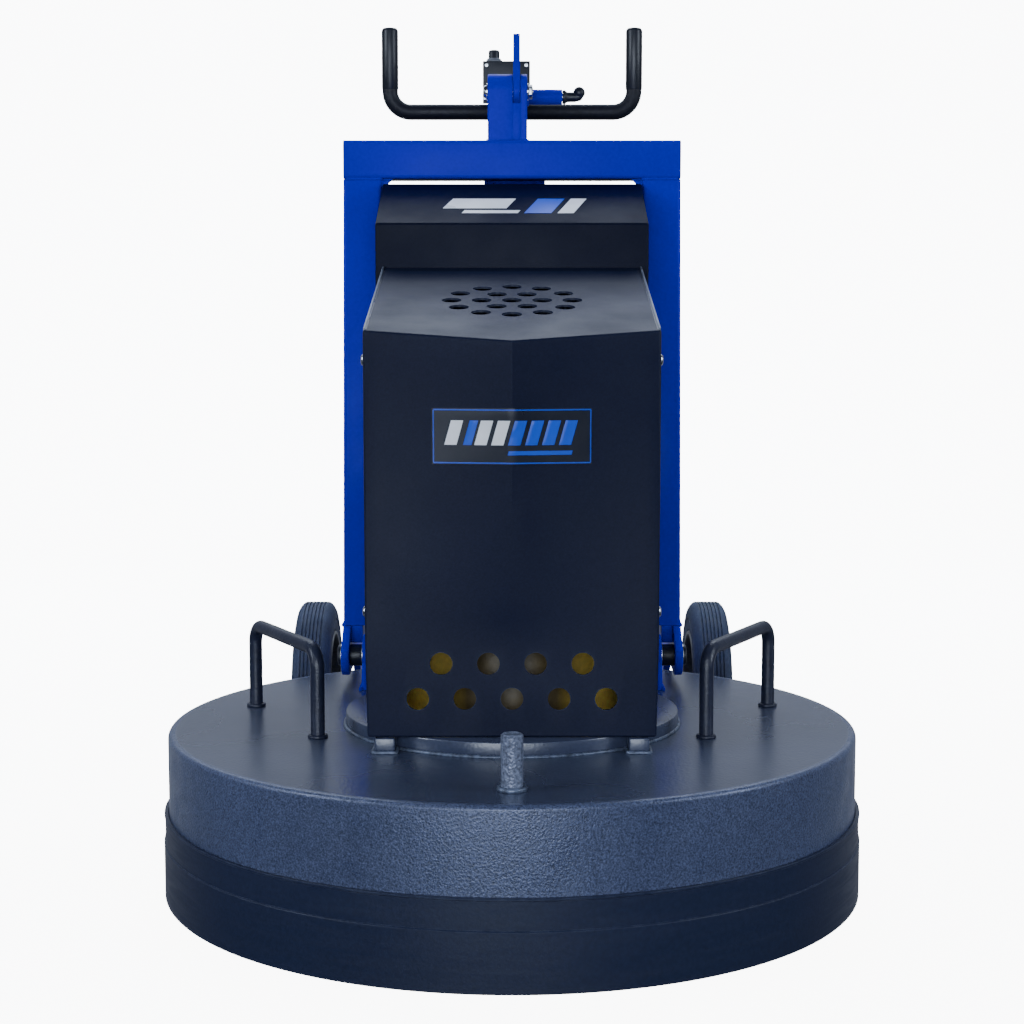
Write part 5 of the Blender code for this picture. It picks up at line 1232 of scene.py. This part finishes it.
class GRINDER_OT_enclosure(bpy.types.Operator):
    """Build the rear enclosure, its stripes, the rear panel and the controls on it"""
    bl_idname = "grinder.enclosure"
    bl_label = "Rear enclosure"

    def execute(self, context):
        case_low, case_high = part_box("rear_enclosure")
        ridge = DECK_Y + 0.300
        shoulder = case_high.z - 0.058

        def outline(inset, back):
            return [(case_low.y + inset, case_low.z + inset), (back, case_low.z + inset),
                    (back, case_high.z - inset),
                    (ridge, case_high.z - inset), (case_low.y + inset, shoulder - inset)]
        outer = soften(plate(outline(0, case_high.y), case_low.x, case_high.x, "X"), 0.0026, 4, 15)
        inner = plate(outline(0.002, case_high.y + 0.03), case_low.x + 0.002, case_high.x - 0.002, "X")
        # The enclosure's coat is the cover's coat darkened with painted shade.
        piece("enclosure_shell", punched(outer, inner), "chassis", "enclosure_shaded_coat", ["rear_enclosure"], 28)
        self.stripes(case_low, case_high, ridge, shoulder)
        self.panel()
        self.controls()
        repaint("grey_plastic", "inverter")
        return {"FINISHED"}

    def stripes(self, case_low, case_high, ridge, shoulder):
        """Plain slanted stripes on the sloping top."""
        rise = (case_high.z - shoulder) / (ridge - case_low.y)
        depth = ridge - case_low.y
        for name, x, wide, start, end, finish in (("white", -0.045, 0.080, 0.36, 0.60, "label_white"),
                                                  ("thin", -0.020, 0.070, 0.24, 0.31, "label_white"),
                                                  ("blue", 0.040, 0.034, 0.24, 0.60, "label_blue"),
                                                  ("pale", 0.075, 0.020, 0.24, 0.60, "label_white")):
            film = bmesh.new()
            bmesh.ops.create_grid(film, x_segments=4, y_segments=4, size=0.5)
            for vert in film.verts:
                deep = depth * (start + (end - start) * (vert.co.y + 0.5))
                vert.co = (x + vert.co.x * wide + 0.35 * (deep - depth * 0.4), case_low.y + deep,
                           shoulder + rise * deep + 0.0006)
            bmesh.ops.solidify(film, geom=film.faces[:], thickness=0.0002)
            bmesh.ops.recalc_face_normals(film, faces=film.faces)
            piece(f"enclosure_stripe_{name}", film, "chassis", finish)

    def panel(self):
        """A flat rear panel held by corner screws, with plain ticks round the knob."""
        panel_low, panel_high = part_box("control_panel")
        stop, knob = middle("emergency_stop"), middle("speed_knob")
        sheet = soften(block(panel_low, panel_high), 0.0007)
        bores = [rod(r, panel_low.y - 0.01, panel_high.y + 0.01, "Y", (at.x, 0, at.z), 32) for r,
                 at in ((0.0086, stop), (0.0046, knob))]
        piece("panel_sheet", punched(sheet, *bores), "chassis", "powder_coat", ["control_panel"])
        face = panel_high.y
        heads = []
        for x in (panel_low.x + 0.012, 0, panel_high.x - 0.012):
            for z in (panel_low.z + 0.012, panel_high.z - 0.012):
                heads.append(turned([(0, face - 0.001), (0.0055, face - 0.001), (0.0053, face + 0.001),
                        (0.0042, face + 0.0022), (0, face + 0.0026)], "Y", (x, 0, z), 24))
        piece("panel_screws", joined(*heads), "chassis", "bright_steel")
        ring = turned([(0.0225, face + 0.0001), (0.0270, face + 0.0001), (0.0270, face + 0.0006),
                       (0.0225, face + 0.0006)], "Y", (stop.x, 0, stop.z), 64, closed=True)
        piece("stop_ring", ring, "chassis", "cast_paint")
        ticks = []
        for i in range(11):
            a = radians(-135 + 27 * i)
            tick = block((-0.0005, face + 0.0001, 0.0195), (0.0005, face + 0.0004, 0.0240 if i % 5 else 0.0265))
            ticks.append(swung(tick, a, "Y", (knob.x, 0, knob.z)))
        piece("knob_ticks", joined(*ticks), "chassis", "label_white")

    def controls(self):
        """The mushroom stop, the ribbed knob with its pointer, and the power inlet."""
        stop_low, stop_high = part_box("emergency_stop")
        at = middle("emergency_stop")
        face = high("control_panel").y
        radius = (stop_high.x - stop_low.x) / 2
        base = face + 0.0055
        cap = turned([(0, stop_low.y), (0.008, stop_low.y), (0.008, base), (radius - 0.001, base),
                      (radius, base + 0.001), (radius, base + 0.0065),
                      (radius - 0.0015, base + 0.0090), (radius - 0.0050, base + 0.0120), (radius - 0.010,
                stop_high.y - 0.0006), (0, stop_high.y)],
                     "Y", (at.x, 0, at.z), 72)
        piece("stop_mushroom", cap, "emergency_stop", "red_plastic", ["emergency_stop"], 50)
        knob_low, knob_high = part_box("speed_knob")
        at = middle("speed_knob")
        radius = (knob_high.x - knob_low.x) / 2
        body = turned([(0, knob_low.y), (0.004, knob_low.y), (0.004, face + 0.0005), (radius - 0.0012,
                face + 0.0005), (radius - 0.0012, face + 0.004),
                       (radius - 0.0030, knob_high.y - 0.0012), (radius - 0.0042, knob_high.y),
                       (0, knob_high.y)], "Y", (at.x, 0, at.z), 48)
        ribs = []
        for i in range(24):
            rib = block((-0.0009, face + 0.001, radius - 0.0035), (0.0009, knob_high.y - 0.003,
                    radius - 0.0004))
            for vert in rib.verts:
                if vert.co.y > face + 0.006 and vert.co.z > radius - 0.002:
                    vert.co.z -= 0.0018
            ribs.append(swung(rib, tau * i / 24, "Y", (at.x, 0, at.z)))
        piece("knob_body", joined(body, *ribs), "speed_knob", "black_plastic", ["speed_knob"])
        pointer = block((at.x - 0.0007, knob_high.y - 0.0002, at.z + 0.003), (at.x + 0.0007,
                knob_high.y + 0.0002, at.z + 0.0105))
        piece("knob_pointer", pointer, "speed_knob", "label_white")
        inlet_low, inlet_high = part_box("power_inlet")
        at = middle("power_inlet")
        radius = (inlet_high.x - inlet_low.x) / 2
        shell = turned([(0, inlet_low.y), (radius, inlet_low.y), (radius, inlet_high.y - 0.002),
                        (radius - 0.0006, inlet_high.y), (radius - 0.003, inlet_high.y),
                        (radius - 0.003, inlet_low.y + 0.008), (0, inlet_low.y + 0.008)], "Y", (at.x, 0, at.z),
                       64)
        flange = soften(block((at.x - 0.031, inlet_low.y - 0.0002, at.z - 0.031), (at.x + 0.031,
                inlet_low.y + 0.0035, at.z + 0.031)), 0.0012)
        piece("inlet_shell", joined(soften(shell, 0.0004), flange), "chassis", "frame_paint", ["power_inlet"])
        pins = [rod(0.0032 if i else 0.0040, inlet_low.y + 0.006, inlet_high.y - 0.006, "Y",
                    (at.x + 0.011 * sin(tau * i / 4), 0, at.z - 0.011 * cos(tau * i / 4)), 20)
                for i in range(4)]
        piece("inlet_pins", joined(*pins), "chassis", "bright_steel")


# ---------------------------------------------------------------- handle

class GRINDER_OT_handle(bpy.types.Operator):
    """Build the clevis, hinge bolt, sector, clamp lever, handlebar, grips and switch block"""
    bl_idname = "grinder.handle"
    bl_label = "Handle"

    def execute(self, context):
        size = context.scene.grinder_handle
        self.mast(size)
        self.bolt(size)
        self.sector()
        self.bar(size)
        self.switch()
        self.lever(size)
        return {"FINISHED"}

    def mast(self, size):
        """Two cheeks round the sector's slot, on a base and a plate behind the top bar."""
        mast_high = high("handle_mast")
        bar_low, bar_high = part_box("frame_top_bar")
        sector_low, sector_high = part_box("sector_plate")
        base = bar_high.z + 0.0003
        behind = bar_high.y + 0.0003
        reach = CLAMP.y - HINGE.y + size.sleeve
        eye, front = 0.023, HINGE.y - 0.023
        outline = [(front, base), (behind + 0.008, base), (HINGE.y + reach, HINGE.z - size.sleeve),
                   (HINGE.y + reach, HINGE.z + size.sleeve),
                   *rounded((HINGE.y, HINGE.z), eye, 60, 180, 20)]
        play = 0.0005
        cheeks = []
        for first, last in ((size.cheek[0], sector_low.x - play), (sector_high.x + play, size.cheek[1])):
            flat = soften(plate(outline, first, last, "X"), 0.0016, 3, 50)
            holes = [rod(0.0064, first - 0.01, last + 0.01, "X", (0, HINGE.y, HINGE.z), 28),
                     rod(0.0056, first - 0.01, last + 0.01, "X", (0, CLAMP.y, HINGE.z), 28)]
            cheeks.append(punched(flat, *holes))
        floor = soften(block((size.cheek[0] + 0.001, front + 0.001, base), (size.cheek[1] - 0.001,
                behind + 0.007, base + 0.007)), 0.0008)
        spacer = soften(block((sector_low.x - 0.0008, front + 0.0008, base), (sector_high.x + 0.0008,
                front + 0.0062, HINGE.z - 0.017)), 0.0004)
        piece("clevis_spacer", spacer, "chassis", "frame_paint")
        piece("clevis_cheeks", joined(*cheeks, floor), "chassis", "frame_paint", ["handle_mast"])
        back = soften(block((-0.037, behind, bar_low.z - 0.006), (0.044, behind + 0.008, base + 0.004)), 0.0015)
        piece("clevis_back_plate", back, "chassis", "frame_paint")
        sleeve = soften(turned([(0.0056, size.cheek[1] - 0.003), (size.sleeve, size.cheek[1] - 0.003),
                                (size.sleeve, mast_high.x),
                                (0.0056, mast_high.x)], "X", (0, CLAMP.y, HINGE.z), 40, closed=True), 0.0008)
        piece("clamp_sleeve", sleeve, "chassis", "frame_paint")
        for x, name in ((size.cheek[0] - 0.0004, "left"), (size.cheek[1] + 0.0004, "right")):
            piece(f"clevis_weld_{name}", weld([(x, front + 0.002, base + 0.0012), (x, behind, base + 0.0012)],
                    0.0020), "chassis", "frame_paint", sharp=60)
        seam = [Vector((size.cheek[1] + 0.0012, CLAMP.y + (size.sleeve + 0.0006) * cos(tau * i / 22),
                        HINGE.z + (size.sleeve + 0.0006) * sin(tau * i / 22)))
                for i in range(22)]
        piece("sleeve_weld", weld(seam, 0.0015, True), "chassis", "frame_paint", sharp=60)
        ends = [bolt_heads(0, 1, 0.0065, behind + 0.0078, behind + 0.0130, "Y", (x, 0, bar_low.z + 0.018))
                for x in (-0.025, 0.032)]
        piece("back_plate_bolts", joined(*ends), "chassis", "bright_steel")

    def bolt(self, size):
        """A hinge bolt with a domed head, washers and a lock nut."""
        bolt_low, bolt_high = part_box("hinge_bolt")
        at = (0, HINGE.y, HINGE.z)
        left, right = size.cheek[0] - 0.0003, size.cheek[1] + 0.0003
        shank = rod(0.0058, left - 0.001, bolt_high.x - 0.0005, "X", at, 28)
        head = turned([(0, bolt_low.x), (0.0052, bolt_low.x), (0.0078, bolt_low.x + 0.0012),
                       (0.0088, bolt_low.x + 0.0034), (0.0088, left - 0.0014), (0, left - 0.0014)], "X", at, 32)
        washers = [rod(0.0112, *sorted((a, b)), "X", at, 36) for a, b in ((left - 0.0014, left),
                (right, right + 0.0014))]
        nut = soften(rod(0.0098, right + 0.0014, bolt_high.x - 0.0012, "X", at, 6), 0.0007)
        piece("hinge_bolt_set", joined(shank, head, nut, *washers), "chassis", "bright_steel", ["hinge_bolt"])

    def sector(self):
        """A flat sector with a curved slot for the clamp's stud."""
        box_low, box_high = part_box("sector_plate")
        radius, hub, play = 0.075, 0.022, 0.0056
        reach = CLAMP.y - HINGE.y
        centre = (HINGE.y, HINGE.z)
        outline = [*rounded(centre, radius, -25, 100, 40), *rounded(centre, hub, 160, 275, 14)]
        flat = soften(plate(outline, box_low.x, box_high.x, "X"), 0.0010, 2, 40)
        down, up = -20, 40
        start, end = ((HINGE.y + reach * cos(radians(turn)), HINGE.z + reach * sin(radians(turn)))
                      for turn in (down, up))
        slot = [*rounded(centre, reach + play, down, up, 18), *rounded(end, play, up, up + 180, 12)[1:-1],
                *rounded(centre, reach - play, up, down, 18), *rounded(start, play, down + 180, down + 360,
                12)[1:-1]]
        cutter = plate(slot, box_low.x - 0.01, box_high.x + 0.01, "X")
        piece("sector_flat", punched(flat, cutter, rod(0.0066, box_low.x - 0.01, box_high.x + 0.01, "X",
                (0, HINGE.y, HINGE.z), 28)),
              "handle", "frame_paint", ["sector_plate"])

    def bar(self, size):
        """A bent bar with a stem, rounded ends and smooth grip sleeves."""
        bar_low, bar_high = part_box("handlebar")
        half, y = bar_high.x - size.bar, bar_high.y - size.bar
        top, level = bar_high.z, HINGE.z
        corners = [(-half, y, top - 0.004), (-half, y, level), (half, y, level), (half, y, top - 0.004)]
        path = bent(corners, size.bend, 12)
        ends = [(0.0035, 0.45), (0.0025, 0.80), (0.0010, 0.96)]
        path = [Vector((-half, y, top - 0.004 + a)) for a, _ in ends] + path + [Vector((half, y,
                top - 0.004 + a)) for a, _ in reversed(ends)]
        widths = [w for _, w in ends] + [1.0] * (len(path) - 6) + [w for _, w in reversed(ends)]
        sector = middle("sector_plate")
        stem = soften(rod(0.011, bar_low.y, y - 0.002, "Y", (sector.x, 0, level), 40), 0.0008)
        piece("bar_bent", joined(swept(path, size.bar, widths, 9), stem), "handle", "handle_coat",
              ["handlebar"])
        ring = [Vector((sector.x + 0.0118 * cos(tau * i / 24), y - 0.0085 - 0.002 * abs(sin(tau * i / 24)),
                        level + 0.0108 * sin(tau * i / 24))) for i in range(24)]
        piece("stem_weld", weld(ring, 0.0017, True), "handle", "handle_coat", sharp=60)
        for side, name in SIDES:
            first, last, skin = top - 0.004 - size.grip_length, top - 0.004, size.bar + 0.0007
            outline = [(0, first + 0.001), (size.bar, first), (skin, first + 0.0012), (skin, last - 0.001),
                       (skin - 0.0006, last + 0.0012),
                       (size.bar * 0.84, last + 0.0034), (size.bar * 0.4, top + 0.0004), (0, top + 0.0006)]
            piece(f"grip_sleeve_{name}", turned(outline, "Z", (side * half, y, 0), 48), "handle",
                  "black_plastic", sharp=50)

    def switch(self):
        """A two-part switch housing with a collar, screws and a domed start button."""
        block_low, block_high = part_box("switch_block")
        button_low, button_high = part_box("start_button")
        deck = button_high.z - 0.018
        neck = HINGE.z + 0.026
        outline = [(-0.018, block_low.z), (0.018, block_low.z), (0.018, neck), (block_high.x, neck + 0.008),
                   (block_high.x, deck),
                   (block_low.x, deck), (block_low.x, neck + 0.008), (-0.024, neck)]
        mid = (block_low.y + block_high.y) / 2
        shells = [soften(plate(outline, a, b, "Y"), 0.0013, 3, 35) for a, b in ((block_low.y, mid - 0.0003),
                (mid + 0.0003, block_high.y))]
        at = middle("start_button")
        well = rod(0.0086, deck - 0.012, deck + 0.02, "Z", (at.x, at.y, 0), 36)
        core = block((-0.016, mid - 0.004, block_low.z + 0.002), (0.016, mid + 0.004, deck - 0.013))
        piece("switch_shells", joined(punched(joined(*shells), well), core), "handle", "black_plastic",
              ["switch_block"])
        collar = soften(turned([(0.0086, deck - 0.003), (0.0096, deck - 0.003), (0.0096, deck),
                                (0.0118, deck + 0.0002), (0.0118, deck + 0.0024), (0.0096, deck + 0.0060),
                                (0.0086, deck + 0.0060)], "Z", (at.x, at.y, 0), 40, closed=True), 0.0004)
        piece("button_collar", collar, "handle", "grey_plastic")
        cap = turned([(0, button_low.z), (0.008, button_low.z), (0.008, button_high.z - 0.0025),
                      (0.0073, button_high.z - 0.0008), (0.0055, button_high.z), (0, button_high.z)],
                     "Z", (at.x, at.y, 0), 40)
        piece("button_cap", cap, "start_button", "black_plastic", ["start_button"])
        screws = [turned([(0, block_low.y + 0.0006), (0.0026, block_low.y + 0.0006),
                          (0.0024, block_low.y - 0.0008), (0, block_low.y - 0.0010)], "Y", (x, 0, z), 20)
                  for x, z in ((-0.0365, deck - 0.006), (0.0205, deck - 0.006), (0.012, block_low.z + 0.006))]
        piece("switch_screws", joined(*screws), "handle", "bright_steel")

    def lever(self, size):
        """A clamp stud with a nut, a collar and a short cranked ball lever."""
        lever_high = high("clamp_lever")
        at = (0, CLAMP.y, HINGE.z)
        sleeve = high("handle_mast").x + 0.0005
        left = size.cheek[0] - 0.0005
        stud = rod(0.005, left - 0.004, sleeve + 0.004, "X", at, 28)
        nut = soften(rod(0.0090, left - 0.007, left, "X", at, 6), 0.0008)
        piece("clamp_stud", joined(stud, nut), "clamp_lever", "bright_steel", ["clamp_lever"])
        collar = turned([(0, sleeve), (0.0085, sleeve), (0.0095, sleeve + 0.001), (0.0095, sleeve + 0.0034),
                         (0.0078, sleeve + 0.005), (0.0068, sleeve + 0.0065),
                         (0.0066, lever_high.x - 0.012), (0, lever_high.x - 0.012)], "X", at, 40)
        ball = lever_high.z - 0.008
        crank = swept(bent([(sleeve + 0.010, CLAMP.y, HINGE.z), (lever_high.x - 0.008, CLAMP.y, HINGE.z),
                            (lever_high.x - 0.008, CLAMP.y, ball + 0.001)], 0.0025, 6), 0.0058, None, 6)
        knob = bmesh.new()
        bmesh.ops.create_uvsphere(knob, u_segments=40, v_segments=24, radius=0.0080)
        bmesh.ops.translate(knob, vec=(lever_high.x - 0.0080, CLAMP.y, ball), verts=knob.verts)
        piece("clamp_crank", joined(collar, crank, knob), "clamp_lever", "black_plastic")


# ---------------------------------------------------------------- studio

class GRINDER_OT_stage(bpy.types.Operator):
    """Build the pale floor, the soft lights, the bright surround and the camera"""
    bl_idname = "grinder.stage"
    bl_label = "Studio"

    def execute(self, context):
        size = context.scene.grinder_stage
        scene = context.scene
        half, bend, rise = size.floor / 2, 1.6, 5
        start = size.wall - bend
        floor = block((-half, -half, -0.02), (half, start, 0))
        sweep = bmesh.new()
        line = [sweep.verts.new((x, start, 0)) for x in (-half, half)]
        rim = [sweep.edges.new(line)]
        arc = bmesh.ops.spin(sweep, geom=line + rim, cent=(0, start, bend), axis=(1, 0, 0), angle=radians(90),
                             steps=24)["geom_last"]
        rim = [g for g in arc if isinstance(g, bmesh.types.BMEdge)]
        risen = bmesh.ops.extrude_edge_only(sweep, edges=rim)["geom"]
        bmesh.ops.translate(sweep, vec=(0, 0, rise), verts=[g for g in risen
                if isinstance(g, bmesh.types.BMVert)])
        bmesh.ops.recalc_face_normals(sweep, faces=sweep.faces)
        for name, solid in (("studio_floor", floor), ("studio_sweep", sweep)):
            mesh = bpy.data.meshes.new(name)
            solid.to_mesh(mesh)
            solid.free()
            mesh.materials.append(FINISHES["studio_paper"][0])
            for face in mesh.polygons:
                face.use_smooth = name == "studio_sweep"
            thing = bpy.data.objects.new(name, mesh)
            scene.collection.objects.link(thing)
            thing.visible_glossy = thing.visible_diffuse = False
        self.surround(scene)
        for name, place, aim, wide, tall, power, shows in (
                ("ceiling_light", (0.0, 2.7, 3.2), (0, 0.3, 0.3), 4.6, 1.7, 84, True),
                ("sweep_light", (0.0, 1.6, 3.8), (0, 4.6, 0.7), 6.0, 1.0, 420, False),
                ("left_light", (-3.2, -1.4, 1.9), (0, 0, 0.35), 1.4, 1.8, 75, True),
                ("right_light", (3.2, -1.2, 1.7), (0, 0, 0.35), 1.4, 1.8, 66, True),
                ("front_light", (-0.3, -3.6, 0.9), (0, 0, 0.4), 2.4, 1.8, 100, True)):
            lamp = bpy.data.lights.new(name, "AREA")
            lamp.shape = "RECTANGLE"
            lamp.size, lamp.size_y, lamp.energy, lamp.color = wide, tall, power, (0.78, 0.87, 1.0)
            thing = bpy.data.objects.new(name, lamp)
            thing.location = place
            thing.rotation_euler = (Vector(aim) - Vector(place)).to_track_quat("-Z", "Y").to_euler()
            thing.visible_glossy = shows
            scene.collection.objects.link(thing)
        camera = bpy.data.objects.new("camera", bpy.data.cameras.new("camera"))
        camera.data.lens, camera.data.sensor_width = size.lens, 36
        camera.location = (0, DECK_Y - size.distance, size.height)
        camera.rotation_euler = (radians(90) - size.pitch, 0, 0)
        scene.collection.objects.link(camera)
        scene.camera = camera
        return {"FINISHED"}

    def surround(self, scene):
        """Pale to look at. What it lights and reflects is dark, and lighter only behind the grinder."""
        world = bpy.data.worlds.new("surround")
        world.use_nodes = True
        scene.world = world
        nodes, links = world.node_tree.nodes, world.node_tree.links
        place = nodes.new("ShaderNodeTexCoord").outputs["Generated"]
        split = nodes.new("ShaderNodeSeparateXYZ")
        links.new(place, split.inputs["Vector"])
        ramp = nodes.new("ShaderNodeValToRGB")
        reach = nodes.new("ShaderNodeMapRange")
        reach.inputs["From Min"].default_value, reach.inputs["From Max"].default_value = -1, 1
        links.new(split.outputs["Y"], reach.inputs["Value"])
        links.new(reach.outputs["Result"], ramp.inputs["Fac"])
        front, behind = ramp.color_ramp.elements
        front.position, front.color = 0.66, (0.035, 0.042, 0.060, 1)
        behind.position, behind.color = 0.98, (0.50, 0.55, 0.66, 1)
        back = nodes["Background"]
        links.new(ramp.outputs["Color"], back.inputs["Color"])
        back.inputs["Strength"].default_value = 0.8
        pale = nodes.new("ShaderNodeBackground")
        pale.inputs["Color"].default_value, pale.inputs["Strength"].default_value = (0.98, 0.99, 1, 1), 9.0
        seen, mix = nodes.new("ShaderNodeLightPath"), nodes.new("ShaderNodeMixShader")
        links.new(seen.outputs["Is Camera Ray"], mix.inputs[0])
        links.new(back.outputs[0], mix.inputs[1])
        links.new(pale.outputs[0], mix.inputs[2])
        links.new(mix.outputs[0], nodes["World Output"].inputs["Surface"])


# ---------------------------------------------------------------- panel and run

class GRINDER_PT_panel(bpy.types.Panel):
    """Sizes, colours and the steps that build the grinder"""
    bl_idname = "GRINDER_PT_panel"
    bl_label = "Floor grinder"
    bl_space_type = "VIEW_3D"
    bl_region_type = "UI"
    bl_category = "Grinder"

    def draw(self, context):
        for operator in OPERATORS:
            self.layout.operator(operator.bl_idname)
        for name, _ in SETTINGS:
            group = getattr(context.scene, name)
            box = self.layout.box()
            for key in group.bl_rna.properties.keys():
                if key not in ("rna_type", "name"):
                    box.prop(group, key)


SETTINGS = (("grinder_deck", GrinderDeckSizes), ("grinder_tools", GrinderToolSizes), ("grinder_cover",
        GrinderCoverSizes),
            ("grinder_frame", GrinderFrameSizes), ("grinder_wheels", GrinderWheelSizes), ("grinder_handle",
        GrinderHandleSizes),
            ("grinder_colours", GrinderColours), ("grinder_stage", GrinderStageSizes))
OPERATORS = (GRINDER_OT_finishes, GRINDER_OT_deck, GRINDER_OT_tools, GRINDER_OT_drive, GRINDER_OT_cover,
             GRINDER_OT_pivot,
             GRINDER_OT_chassis, GRINDER_OT_wheels, GRINDER_OT_enclosure, GRINDER_OT_handle, GRINDER_OT_stage)


def register():
    for _, group in SETTINGS:
        bpy.utils.register_class(group)
    for operator in OPERATORS:
        bpy.utils.register_class(operator)
    bpy.utils.register_class(GRINDER_PT_panel)
    for name, group in SETTINGS:
        setattr(bpy.types.Scene, name, PointerProperty(type=group))


def unregister():
    for name, _ in SETTINGS:
        delattr(bpy.types.Scene, name)
    bpy.utils.unregister_class(GRINDER_PT_panel)
    for operator in reversed(OPERATORS):
        bpy.utils.unregister_class(operator)
    for _, group in reversed(SETTINGS):
        bpy.utils.unregister_class(group)


def main():
    register()
    for step in ("finishes", "deck", "tools", "drive", "cover", "pivot", "chassis", "wheels", "enclosure",
                 "handle", "stage"):
        if getattr(bpy.ops.grinder, step)() != {"FINISHED"}:
            raise RuntimeError(f"the step {step} did not finish")


if __name__ == "__main__":
    main()
